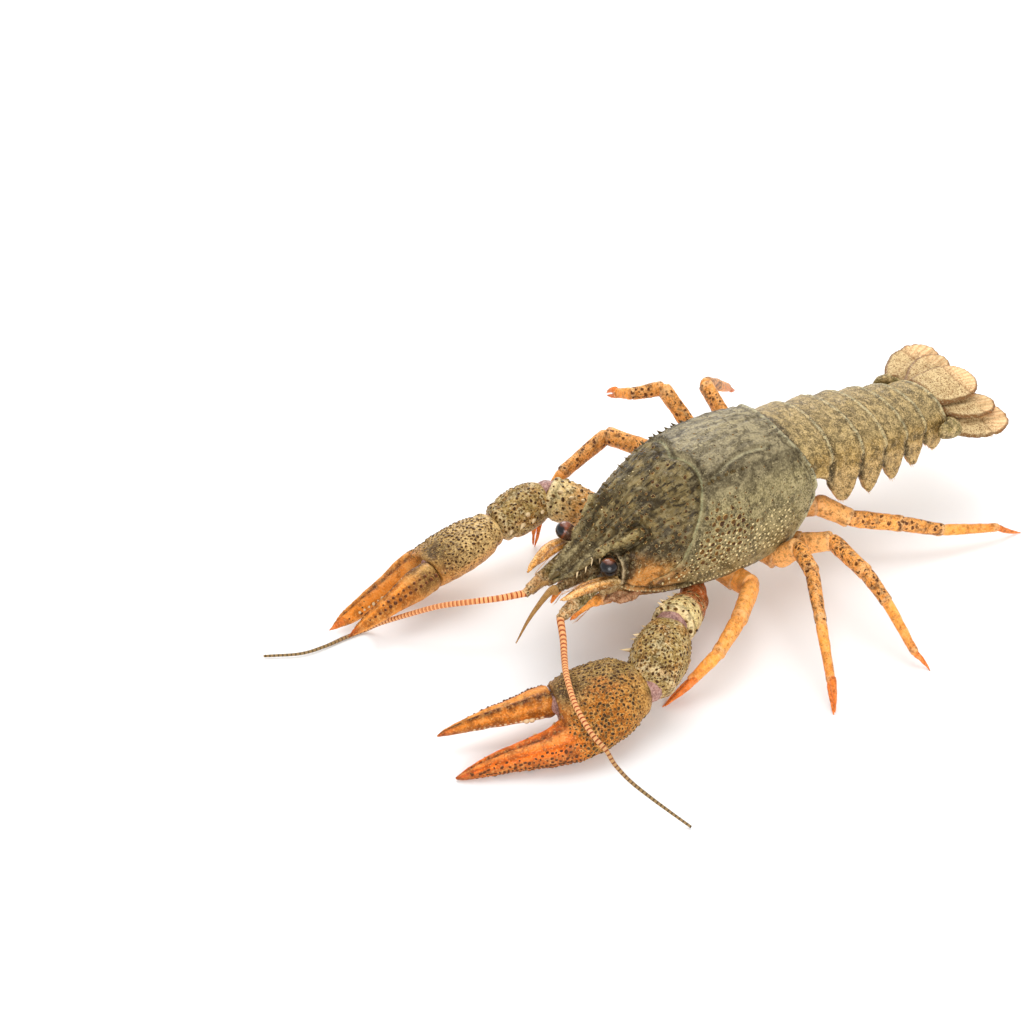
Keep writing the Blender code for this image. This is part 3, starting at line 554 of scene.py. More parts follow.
def freckle_group():
    """Round dark spots of uneven size, each with a ring around it."""
    tree, sheet, ins, out = start_group(
        "Ringed freckles", "ShaderNodeTree",
        {"Spacing": 1.6, "Size": 0.3, "Amount": 0.6, "Raggedness": 0.8},
        {"Spot": "NodeSocketFloat", "Ring": "NodeSocketFloat"})
    scaled = sheet.vector("SCALE", sheet.place(), sheet.math("DIVIDE", 1000.0, ins["Spacing"]))
    ragged = sheet.noise(scaled, 1.5, 2.0).outputs[1]
    moved = sheet.vector("ADD", scaled, sheet.vector("SCALE", ragged, ins["Raggedness"]))
    cells = sheet.add("ShaderNodeTexVoronoi", Vector=moved, Scale=1.0)
    chance = sheet.add("ShaderNodeSeparateColor", Color=cells.outputs["Color"])
    shown = sheet.math("LESS_THAN", chance.outputs[0], ins["Amount"])
    size = sheet.times(ins["Size"], sheet.span(chance.outputs[1], 0.0, 1.0, 0.6, 1.25))
    spot = sheet.span(cells.outputs["Distance"], size, sheet.times(size, 0.62))
    wide = sheet.span(cells.outputs["Distance"], sheet.times(size, 1.8), sheet.times(size, 1.1))
    sheet.feed(out["Spot"], sheet.times(spot, shown))
    sheet.feed(out["Ring"], sheet.times(sheet.math("SUBTRACT", wide, spot), shown))
    return tree


def skin_group(freckles):
    """Mottled skin: blots, fine specks and ringed freckles over a tint, with their relief."""
    tree, sheet, ins, out = start_group(
        "Mottled skin", "ShaderNodeTree",
        {"Tint": (0.4, 0.3, 0.15, 1.0), "Dark": (0.05, 0.03, 0.01, 1.0), "Pale": (0.7, 0.6, 0.4, 1.0), "Marks": 1.0,
         "Blot size": 3.0, "Blot strength": 0.5, "Speck size": 0.5, "Speck strength": 0.5,
         "Freckle spacing": 1.6, "Freckle size": 0.3, "Freckle amount": 0.5, "Ring strength": 0.3,
         "Streaks": 0.0},
        {"Colour": "NodeSocketColor", "Height": "NodeSocketFloat", "Roughness": "NodeSocketFloat"})
    place = sheet.place()
    blots = sheet.noise(place, sheet.math("DIVIDE", 1000.0, ins["Blot size"]), 5.0, 0.6, 0.4)
    specks = sheet.noise(place, sheet.math("DIVIDE", 1000.0, ins["Speck size"]), 2.0, 0.6)
    grain = sheet.noise(place, 5200.0, 2.0)
    spots = sheet.feed_all(sheet.add("ShaderNodeGroup", {"node_tree": freckles}), {
        "Spacing": ins["Freckle spacing"], "Size": ins["Freckle size"], "Amount": ins["Freckle amount"]})
    squeeze = sheet.add("ShaderNodeMapping", {"vector_type": "POINT"}, Vector=place, Scale=(1.3, 0.26, 1.0))
    lines = sheet.noise(squeeze, 720.0, 4.0, 0.6, 0.5)
    darker = sheet.mix(0.72, ins["Tint"], ins["Dark"])
    lighter = sheet.mix(0.4, ins["Tint"], ins["Pale"])
    shade = sheet.times(sheet.span(blots, 0.49, 0.6), ins["Blot strength"])
    colour = sheet.mix(shade, ins["Tint"], darker)
    light = sheet.times(sheet.span(blots, 0.48, 0.36), ins["Blot strength"])
    light = sheet.times(light, sheet.span(ins["Streaks"], 0.1, 0.8, 1.0, 0.35))
    colour = sheet.mix(sheet.times(light, 0.8), colour, lighter)
    colour = sheet.mix(sheet.times(sheet.span(lines, 0.51, 0.6), ins["Streaks"]), colour, ins["Dark"])
    paler = sheet.times(sheet.span(lines, 0.46, 0.39), ins["Streaks"])
    colour = sheet.mix(sheet.times(paler, 0.35), colour, lighter)
    fine = sheet.times(sheet.times(sheet.span(specks, 0.515, 0.585), ins["Speck strength"]), ins["Marks"])
    fine = sheet.times(fine, sheet.span(ins["Streaks"], 0.0, 1.0, 1.0, 0.3))
    colour = sheet.mix(fine, colour, ins["Dark"])
    glint = sheet.times(sheet.times(sheet.span(specks, 0.44, 0.37), ins["Speck strength"]), 0.42)
    glint = sheet.times(glint, sheet.span(ins["Streaks"], 0.0, 0.8, 1.0, 0.15))
    colour = sheet.mix(glint, colour, ins["Pale"])
    ring = sheet.times(sheet.times(spots.outputs["Ring"], ins["Ring strength"]), ins["Marks"])
    colour = sheet.mix(ring, colour, ins["Pale"])
    spot = sheet.times(spots.outputs["Spot"], ins["Marks"])
    sheet.feed(out["Colour"], sheet.mix(sheet.times(spot, 0.9), colour, ins["Dark"]))
    height = sheet.math("MULTIPLY_ADD", spot, -0.5, sheet.times(ring, 0.5))
    height = sheet.math("MULTIPLY_ADD", specks, -0.9, height)
    height = sheet.math("MULTIPLY_ADD", sheet.times(lines, ins["Streaks"]), -2.2, height)
    sheet.feed(out["Height"], sheet.math("MULTIPLY_ADD", grain, 0.25, height))
    sheet.feed(out["Roughness"], sheet.span(specks, 0.3, 0.7, 0.3, 0.55))
    return tree


def rgba(colour, share=1.0):
    return (colour[0] * share, colour[1] * share, colour[2] * share, 1.0)


def start_material(name, gloss=None):
    """Starts a material with one surface, and sets how much that surface mirrors."""
    material = bpy.data.materials.new(name)
    material.use_nodes = True
    material.node_tree.nodes.clear()
    sheet = NodeSheet(material.node_tree)
    surface = sheet.add("ShaderNodeBsdfPrincipled")
    sheet.add("ShaderNodeOutputMaterial", Surface=surface)
    if gloss is not None:
        surface.inputs["Specular IOR Level"].default_value = gloss
    return material, sheet, surface


def add_relief(sheet, surface, height, depth):
    bump = sheet.add("ShaderNodeBump", Strength=1.0, Distance=depth * MM, Height=height)
    sheet.feed(surface.inputs["Normal"], bump.outputs["Normal"])


def skin_material(name, skin, dark, pale, blot, speck, freckle, ring, relief, coat, tint=None, streaked=False):
    """A skin in the vertex tints of its piece, or in one tint, with its own marks."""
    material, sheet, surface = start_material(name, 0.12)
    coloured = sheet.feed_all(sheet.add("ShaderNodeGroup", {"node_tree": skin}), {
        "Tint": sheet.attribute("tint", "Color") if tint is None else rgba(tint),
        "Dark": rgba(dark),
        "Pale": rgba(pale),
        "Marks": sheet.attribute("marks") if tint is None else 1.0,
        "Blot size": blot[0],
        "Blot strength": blot[1],
        "Speck size": speck[0],
        "Speck strength": speck[1],
        "Freckle spacing": freckle[0],
        "Freckle size": freckle[1],
        "Freckle amount": freckle[2],
        "Ring strength": ring,
        "Streaks": sheet.attribute("streaks") if streaked else 0.0,
    }).outputs
    sheet.feed_all(surface, {"Base Color": coloured["Colour"], "Roughness": coloured["Roughness"],
                             "Coat Weight": coat * 0.3, "Coat Roughness": 0.15})
    add_relief(sheet, surface, coloured["Height"], relief)
    return material


def tipped_material(name, foot, tip, middle, softness, other_tip=None, whip=None, rough=0.9):
    """A bump or spine that changes from one colour at its foot to another at its tip."""
    material, sheet, surface = start_material(name, 0.15)
    uneven = sheet.noise(sheet.place(), 1400.0, 2.0)
    height = sheet.math("MULTIPLY_ADD", uneven, rough, sheet.attribute("tip"))
    share = sheet.span(height, middle + rough / 2.0 - softness, middle + rough / 2.0 + softness)
    top = rgba(tip)
    if other_tip is not None:
        top = sheet.mix(sheet.span(sheet.attribute("shade"), 0.25, 1.0), top, rgba(other_tip))
    if whip is not None:
        lean = sheet.add("ShaderNodeSeparateXYZ", Vector=sheet.attribute("lean", "Vector"))
        band = sheet.math("FRACT", lean.outputs["X"])
        share = sheet.times(sheet.span(band, 0.0, 0.16), sheet.span(band, 0.8, 0.6))
    colour = sheet.mix(share, rgba(foot), top)
    if whip is not None:
        girth = sheet.span(sheet.attribute("size"), 0.00062, 0.00038)
        colour = sheet.mix(girth, colour, sheet.mix(share, rgba(whip, 0.3), rgba(whip)))
    sheet.feed_all(surface, {"Base Color": colour, "Roughness": sheet.span(uneven, 0.3, 0.7, 0.25, 0.42)})
    add_relief(sheet, surface, uneven, 0.05)
    return material


def mark_tip(sheet, shape):
    """Stores on a repeated shape how high each of its points stands, from 0 to 1."""
    parts = sheet.add("ShaderNodeSeparateXYZ", Vector=sheet.add("GeometryNodeInputPosition"))
    return sheet.store(shape, "tip", parts.outputs["Z"])


def growth_tree(name, inputs):
    """Starts a Geometry Nodes tree that takes one geometry, some sizes and a finish."""
    return start_group(name, "GeometryNodeTree",
                       {"Geometry": "NodeSocketGeometry", **inputs, "Finish": "NodeSocketMaterial"},
                       {"Geometry": "NodeSocketGeometry"})


def uneven_width(sheet, ins, width):
    low = sheet.math("SUBTRACT", 1.0, ins["Unevenness"])
    high = sheet.math("ADD", 1.0, ins["Unevenness"])
    return sheet.times(width, sheet.random(low, high, ins["Seed"]))


def route_points(sheet, ins):
    """Points one spacing apart along the bare lines of a mesh."""
    line = sheet.add("GeometryNodeMeshToCurve", Mesh=ins["Geometry"])
    return sheet.add("GeometryNodeResampleCurve", {"mode": "LENGTH"}, Curve=line, Length=ins["Spacing"])


def repeat_shape(sheet, ins, out, points, shape, turn, wide, deep, high):
    """Ends a tree: stands a turned and scaled shape on each point, as real mesh in its finish."""
    laid = sheet.add("GeometryNodeInstanceOnPoints", Points=points, Instance=mark_tip(sheet, shape), Rotation=turn,
                     Scale=sheet.add("ShaderNodeCombineXYZ", X=wide, Y=deep, Z=high))
    realized = sheet.add("GeometryNodeRealizeInstances", Geometry=laid)
    sheet.feed(out["Geometry"], sheet.add("GeometryNodeSetMaterial", Geometry=realized, Material=ins["Finish"]))


def scatter_tree():
    """Low round bumps spread over a surface where its cover attribute is high."""
    tree, sheet, ins, out = growth_tree("Scattered bumps", {
        "Spacing": 0.001, "Size": 0.0004, "Height": 0.5, "Unevenness": 0.4, "Length": 1.4, "Seed": 1})
    spread_out = sheet.add("GeometryNodeDistributePointsOnFaces", {"distribute_method": "POISSON"},
                           Mesh=ins["Geometry"], Distance_Min=ins["Spacing"], Density_Max=4.0e6,
                           Density_Factor=sheet.named("cover"), Seed=ins["Seed"])
    shaded = sheet.store(spread_out.outputs["Points"], "shade", sheet.random(0.0, 1.0, 77))
    ball = sheet.add("GeometryNodeMeshUVSphere", Segments=7, Rings=4, Radius=1.0)
    wide = sheet.times(uneven_width(sheet, ins, ins["Size"]), sheet.span(sheet.named("cover"), 0.0, 1.0, 0.55, 1.0))
    spin = sheet.add("FunctionNodeAxisAngleToRotation", Axis=(0.0, 0.0, 1.0), Angle=sheet.random(0.0, math.pi, 5))
    turned = sheet.add("FunctionNodeRotateRotation", {"rotation_space": "LOCAL"})
    sheet.feed_all(turned, {0: spread_out.outputs["Rotation"], 1: spin})
    repeat_shape(sheet, ins, out, shaded, ball, turned, wide, sheet.times(wide, ins["Length"]),
                 sheet.times(wide, ins["Height"]))
    return tree


def row_tree():
    """Pointed or blunt teeth in rows along routes, which lean and swell as their attributes say."""
    tree, sheet, ins, out = growth_tree("Rows of teeth", {
        "Spacing": 0.001, "Slimness": 1.0, "Bluntness": 0.2, "Unevenness": 0.2, "Seed": 1})
    tooth = sheet.add("GeometryNodeMeshCone", Vertices=7, Side_Segments=3, Radius_Top=ins["Bluntness"],
                      Radius_Bottom=1.0, Depth=1.0)
    turn = sheet.add("FunctionNodeAlignRotationToVector", {"axis": "Z"}, Vector=sheet.named("lean", "FLOAT_VECTOR"))
    wide = uneven_width(sheet, ins, sheet.named("size"))
    repeat_shape(sheet, ins, out, route_points(sheet, ins), tooth, turn, wide, wide,
                 sheet.times(wide, ins["Slimness"]))
    return tree


def ring_tree():
    """Small cups one behind another along a route, as in a feeler's whip."""
    tree, sheet, ins, out = growth_tree("Ringed whip", {"Spacing": 0.0007, "Flare": 0.78})
    cup = sheet.add("GeometryNodeMeshCone", Vertices=10, Side_Segments=2, Radius_Top=1.0,
                    Radius_Bottom=ins["Flare"], Depth=1.0)
    turn = sheet.add("FunctionNodeAlignRotationToVector", {"axis": "Z"},
                     Vector=sheet.add("GeometryNodeInputTangent"))
    wide = sheet.named("size")
    repeat_shape(sheet, ins, out, route_points(sheet, ins), cup, turn, wide, wide, sheet.times(ins["Spacing"], 1.12))
    return tree


def grow(name, mesh, tree, values):
    """Runs a Geometry Nodes tree on a mesh and keeps the result as a plain piece."""
    obj = object_from(name, mesh)
    modifier = obj.modifiers.new("growth", "NODES")
    modifier.node_group = tree
    sockets = {item.name: item.identifier for item in tree.interface.items_tree if item.in_out == "INPUT"}
    for label, value in values.items():
        modifier[sockets[label]] = value
    return settle(obj)


def scatter(name, surface, cover, slot, finish, seed, spacing, size, height, unevenness=0.4, length=1.4):
    """Scatters bumps over a surface, as dense as the cover at each vertex; spacing and size are millimetres."""
    mesh = surface.data.copy()
    put_value(mesh, "cover", np.clip(cover, 0.0, 1.0))
    values = {"Spacing": spacing * MM, "Size": size * MM, "Height": height, "Unevenness": unevenness,
              "Length": length, "Seed": seed, "Finish": KIT[finish]}
    finish_piece(grow(name, mesh, KIT["scatter"], values), None, slot)


def route_mesh(name, routes):
    """A mesh of bare lines; each point holds a place in millimetres, a lean and a size in millimetres."""
    places, edges, leans, sizes = [], [], [], []
    for route in routes:
        for index, (point, lean, size) in enumerate(route):
            if index:
                edges.append((len(places) - 1, len(places)))
            places.append(animal(point))
            leans.extend(lean)
            sizes.append(size * MM)
    mesh = bpy.data.meshes.new(name)
    mesh.from_pydata(places, edges, [])
    mesh.attributes.new("lean", "FLOAT_VECTOR", "POINT").data.foreach_set("vector", leans)
    mesh.attributes.new("size", "FLOAT", "POINT").data.foreach_set("value", sizes)
    return mesh


def rest_on(tree, points, tilt=(0.0, 0.0, 0.0), size=0.4, sink=0.1):
    """Lays a route on a surface, leaning along its normals and a given tilt; sizes may differ by point."""
    route = []
    for index, point in enumerate(points):
        foot, normal, _, _ = tree.find_nearest(Vector(point))
        here = size[index] if isinstance(size, (list, tuple)) else size
        route.append((foot - normal * sink, (normal + Vector(tilt)).normalized(), here))
    return route


def rows(name, routes, slot, finish, seed, spacing, slimness, bluntness, unevenness=0.2):
    """Grows teeth along routes; the spacing is in millimetres."""
    values = {"Spacing": spacing * MM, "Slimness": slimness, "Bluntness": bluntness, "Unevenness": unevenness,
              "Seed": seed, "Finish": KIT[finish]}
    finish_piece(grow(name, route_mesh(name, routes), KIT["row"], values), None, slot)


KIT = {}


def settings():
    return bpy.context.scene.crayfish_sizes, bpy.context.scene.crayfish_colours


def prepare_kit():
    """Makes the shared groups, trees and materials once."""
    if KIT:
        return
    _, hue = settings()
    skin = skin_group(freckle_group())
    KIT.update(scatter=scatter_tree(), row=row_tree(), ring=ring_tree(), eye=eye_material(hue))
    # Each skin: dark and pale marks, blots, specks and freckles with their sizes and strengths, ring, relief, coat.
    skins = {
        "Carapace": (hue.dark, hue.pale, (1.9, 0.8), (0.4, 0.6), (1.0, 0.26, 0.35), 0.35, 0.26, 0.3, None, True),
        "Tail plates": ((0.06, 0.04, 0.014), (0.85, 0.6, 0.28), (1.3, 0.85), (0.3, 0.75), (0.9, 0.26, 0.4),
                        0.3, 0.16, 0.2),
        "Tail fan": ((0.2, 0.09, 0.025), hue.pale, (1.6, 0.35), (0.36, 0.8), (0.8, 0.28, 0.5), 0.2, 0.1, 0.12),
        "Claw": ((0.07, 0.022, 0.004), (0.85, 0.5, 0.16), (2.0, 0.6), (0.4, 0.65), (0.8, 0.25, 0.4), 0.5, 0.24, 0.3),
        "Arm": ((0.05, 0.03, 0.008), (0.85, 0.7, 0.4), (1.7, 0.75), (0.42, 0.7), (1.1, 0.3, 0.6), 0.5, 0.22, 0.2),
        "Leg": ((0.07, 0.02, 0.006), (0.9, 0.62, 0.3), (1.5, 0.45), (0.32, 0.5), (1.0, 0.42, 0.9), 0.15, 0.12, 0.25),
        "Feeler scale": ((0.12, 0.045, 0.012), (0.95, 0.75, 0.42), (1.2, 0.75), (0.34, 0.7), (0.8, 0.28, 0.4),
                         0.2, 0.12, 0.25),
        "Joint membrane": ((0.1, 0.05, 0.045), (0.7, 0.5, 0.46), (1.4, 0.6), (0.4, 0.5), (1.2, 0.2, 0.2),
                           0.2, 0.1, 0.15, hue.membrane),
        "Eye stalk": ((0.06, 0.02, 0.01), (0.5, 0.3, 0.2), (1.2, 0.4), (0.3, 0.4), (0.9, 0.25, 0.4),
                      0.2, 0.06, 0.3, (0.07, 0.03, 0.012)),
    }
    for name, values in skins.items():
        KIT[name] = skin_material(name, skin, *values)
    # Each tipped finish: colour of its foot and its tip, where it turns and how softly, and what else it has.
    finishes = {
        # The tubercles' paler foot rings are partly the skin's own cream and partly a painted highlight round each
        # bump.
        "Tubercle": (hue.tubercle_foot, hue.tubercle, 0.35, 0.2, (0.12, 0.055, 0.012)),
        "Pale tubercle": ((0.1, 0.05, 0.016), (0.4, 0.25, 0.09), 0.25, 0.25),
        "Granule": ((0.2, 0.15, 0.07), hue.granule, 0.2, 0.4),
        "Spine": ((0.3, 0.17, 0.06), hue.spine, 0.3, 0.35),
        "Finger tooth": ((0.5, 0.2, 0.06), (0.1, 0.03, 0.008), 0.3, 0.3),
        "Fringe": ((0.42, 0.17, 0.05), (0.66, 0.36, 0.14), 0.4, 0.4),
        "Thorn": ((0.22, 0.16, 0.06), (0.1, 0.065, 0.022), 0.4, 0.3),
        "Feeler rings": (hue.feeler_dark, hue.feeler, 0.55, 0.12, None, (0.3, 0.19, 0.08), 0.15),
        "Short feeler": ((0.2, 0.1, 0.03), (0.46, 0.25, 0.08), 0.5, 0.5, None, None, 1.6),
    }
    for name, values in finishes.items():
        KIT[name] = tipped_material(name, *values)


def eye_material(hue):
    """A dark wet eye with a red-brown top and the fine facets of a compound eye."""
    material, sheet, surface = start_material("Eye", 0.5)
    facets = sheet.add("ShaderNodeTexVoronoi", {"feature": "DISTANCE_TO_EDGE"}, Vector=sheet.place(), Scale=5200.0)
    cloud = sheet.noise(sheet.place(), 700.0, 3.0)
    share = sheet.span(sheet.math("MULTIPLY_ADD", cloud, 0.5, sheet.attribute("marks")), 0.45, 1.0)
    sheet.feed_all(surface, {"Base Color": sheet.mix(share, rgba(hue.eye), rgba(hue.eye_top)),
                             "Roughness": sheet.span(cloud, 0.3, 0.7, 0.05, 0.12)})
    add_relief(sheet, surface, sheet.span(facets, 0.0, 0.12), 0.004)
    return material


# Carapace

def shape_carapace(obj, places, normals, sizes, hue):
    """Cuts the grooves and raises the rims of the carapace, and colours it by region, with painted shade in its
    grooves and painted highlights on its ridges.
    """
    along = places[:, 1]
    height = places[:, 2]
    tree = surface_tree(obj)

    def on_skin(route):
        laid = [tree.find_nearest(Vector(point))[0] for point in route]
        return route_distance(places, [(abs(point.x), point.y, point.z) for point in laid])

    neck, _ = on_skin(NECK_GROOVE)
    gill, _ = on_skin(GILL_GROOVE)
    margin, _ = on_skin(BEAK_MARGIN)
    brow, brow_part = on_skin(BROW_RIDGE)
    under_brow, _ = on_skin(BROW_GROOVE)
    orbit, _ = on_skin(ORBIT_RIM)
    front_low, _ = on_skin(FRONT_EDGE)
    middle, _ = on_skin(((0.0, -24.0, 39.4), (0.0, -10.0, 40.3), (0.0, -2.0, 38.6)))
    beak_middle, _ = on_skin(((0.0, -36.0, 33.8), (0.0, -45.0, 27.0), (0.0, -54.0, 20.9)))
    push = -sizes.groove_depth * bell(neck, 0.6)
    push += 0.25 * bell(neck - 1.5, 0.7)
    push -= 0.4 * sizes.groove_depth * bell(gill, 0.5)
    push += 0.14 * bell(gill - 1.0, 0.5)
    push += 0.5 * bell(margin, 0.6) - 0.75 * bell(beak_middle, 2.0) * ramp(-37.0, -42.0, along)
    push += 0.5 * bell(beak_middle, 0.45) * ramp(-38.0, -43.0, along)
    push += 1.4 * bell(brow, 0.8) * (0.7 + 0.6 * brow_part) - 0.9 * bell(under_brow, 0.8)
    push -= 0.45 * bell(brow - 1.9, 0.5)
    half = half_places(places)
    socket = gap_from(half, (7.9, -45.6, 22.4))
    push -= 1.2 * bell(socket, 2.6)
    push += 0.55 * bell(orbit, 0.5) - 0.4 * bell(orbit - 1.2, 0.6) * (along > -46.5)
    push += 0.22 * bell(front_low, 0.4) - 0.25 * bell(front_low - 1.0, 0.4) + 0.16 * bell(front_low - 1.9, 0.4)
    push -= 0.15 * bell(middle, 0.45)
    head = ramp(-0.6, 0.6, head_side(places))
    rumpled = np.array([noise.noise(Vector((place[0] * 1.2, place[1] * 0.5, place[2] * 1.1)))
                        for place in places])
    push += 0.2 * rumpled * head + 0.13 * lumps(places, 1.1, 2) + 0.16 * lumps(places, 5.0, 3, 2)
    rear = rear_edge_distance(places)
    push += 0.3 * bell(rear - 1.3, 0.5) - 0.3 * bell(rear - 2.4, 0.4) + 0.1 * bell(rear - 3.3, 0.6)
    push += 0.12 * (ramp(15.5, 13.2, height) * ramp(-42.0, -36.0, along))
    push_skin(obj, places, normals, push * ramp(11.0, 14.0, height))

    cloud = lumps(places, 4.0, 7)
    cheek = gap_from(half, CHEEK, (6.0, 6.6, 4.4))
    band = bell(height - 35.6 + 0.12 * (along + 10.0), 2.0) * (1.0 - head)
    patch = gap_from(half, (12.4, -36.0, 25.0), (5.0, 5.0, 3.6))
    marks = 0.7 + 0.3 * ramp(-0.2, 0.6, cloud) - 0.6 * bell(neck, 0.6)
    marks *= 1.0 - 0.45 * head * ramp(22.0, 29.0, height)
    marks *= 1.0 - 0.7 * ramp(1.2, 0.7, cheek)
    marks *= 1.0 - 0.45 * ramp(20.0, 15.0, height)
    streaks = head * (0.3 + 0.55 * ramp(22.0, 29.0, height)) + 0.5 * ramp(30.0, 36.0, height)
    streaks = streaks * (1.0 - bell(neck, 0.7)) * (1.0 - 0.8 * bell(brow, 1.0)) * ramp(0.9, 1.4, cheek)
    put_value(obj.data, "streaks", np.clip(streaks, 0.0, 1.0))
    dress(obj.data, marks, hue.flank,
          (hue.back, ramp(31.0, 38.0, height + 0.8 * cloud)),
          (hue.flank_low, ramp(24.0, 15.0, height + 1.5 * cloud) * 0.85),
          (hue.head_side, head * 0.92),
          (hue.head_top, head * ramp(26.0, 33.0, height + cloud) * 0.9),
          (hue.flank, head * bell(neck, 2.2) * 0.5),
          ((0.27, 0.19, 0.07), ramp(0.05, 0.4, lumps(places, 2.4, 17)) * head * 0.7),
          (hue.dark, ramp(0.0, 0.35, lumps(places, 3.0, 16)) * head * 0.85),
          # Cheek: its own orange, brightened and smoothed into a painted sheen as well.
          (hue.cheek, ramp(1.75, 0.6, cheek + 0.3 * cloud) * 0.95),
          (hue.cheek, ramp(17.0, 14.0, height) * ramp(-30.0, -38.0, along) * 0.7),
          (hue.beak, ramp(-44.0, -50.0, along) * 0.75),
          # Painted shade on the walls of the neck groove.
          (hue.dark, 0.65 * bell(neck - 1.0, 0.6)),
          (hue.groove_line, bell(neck, 0.21) * (0.75 + 0.25 * cloud)),
          # Painted shade along the walls of the gill groove.
          (hue.dark, bell(gill - 0.7, 0.5) * 0.6),
          (hue.rim_line, bell(gill, 0.19) * 0.75),
          # Painted shade in the hollow of the eye socket.
          ((0.05, 0.025, 0.01), ramp(5.4, 3.6, socket) * 0.92),
          # Painted shade in the grooves either side of the brow ridge.
          (hue.dark, bell(brow - 1.5, 0.5) * 0.9),
          # Painted shade beside the beak's raised margin, then a painted highlight along the margin itself.
          (hue.dark, bell(margin - 0.9, 0.4) * 0.8),
          ((0.36, 0.27, 0.12), bell(margin, 0.35) * 0.7),
          # Painted shade beside the ridge down the middle of the beak.
          (hue.dark, bell(beak_middle - 1.0, 0.6) * ramp(-38.0, -42.0, along) * 0.5),
          # Painted highlight along the brow ridge.
          ((0.4, 0.3, 0.12), bell(brow, 0.7) * (0.75 + 0.25 * cloud)),
          # Painted highlight along the beak's slope beside its middle ridge.
          ((0.34, 0.26, 0.12), bell(beak_middle - 1.9, 0.45) * ramp(-38.0, -43.0, along) * 0.8),
          # Painted shade in the groove under the brow.
          (hue.dark, bell(under_brow, 0.8) * 0.9),
          # Painted highlight on the rim round the eye, in the spines' colour, and painted shade in the groove behind
          # it.
          (hue.spine, bell(orbit, 0.32) * 0.75),
          (hue.dark, bell(orbit - 0.95, 0.35) * (along > -45.6) * 0.9),
          # Painted shade in the groove between the front edge's rims, and a painted highlight on the rim.
          (hue.dark, bell(front_low - 1.0, 0.45) * 0.9),
          (hue.spine, bell(front_low, 0.3) * 0.4),
          (hue.rim_line, bell(rear - 1.5, 0.2 + 0.5 * ramp(30.0, 22.0, height)) * 0.9),
          # Painted shade on the carapace's rear lip, where it overlaps the tail.
          (hue.dark, ramp(1.1, 0.7, rear) * 0.85),
          (hue.dark, band * 0.5),
          (hue.dark, ramp(1.3, 0.4, patch + 0.3 * cloud) * 0.6),
          ((0.25, 0.165, 0.05), head * bell(height - 20.0, 2.2) * ramp(-38.0, -34.0, along) * 0.6),
          # Painted shade in the groove in front of the rear rim.
          (hue.dark, bell(rear - 2.4, 0.35) * 0.5),
          ((0.62, 0.46, 0.3), ramp(12.5, 10.0, height) * 0.9))
    return neck, head


def head_side(places):
    """How far in front of the neck groove a place lies; it is positive on the head."""
    heights = [point[2] for point in reversed(NECK_GROOVE)]
    fronts = [point[1] for point in reversed(NECK_GROOVE)]
    sides = [point[0] for point in NECK_GROOVE]
    by_height = np.interp(places[:, 2], heights[:8], fronts[:8])
    by_side = np.interp(np.abs(places[:, 0]), sides[:5], [point[1] for point in NECK_GROOVE[:5]])
    line = np.where(places[:, 2] > 36.5, by_side, by_height)
    return line - places[:, 1]


def rear_edge_distance(places):
    """Distance forward from the carapace's own rear edge, which bulges back at the sides."""
    fall = np.clip((CARAPACE_TOP - places[:, 2]) / (CARAPACE_TOP - CARAPACE_EDGE), 0.0, 1.0)
    edge = REAR_BULGE * np.sin(math.pi * np.minimum(fall * 1.04, 1.0)) - REAR_TUCK * fall
    return edge - places[:, 1]


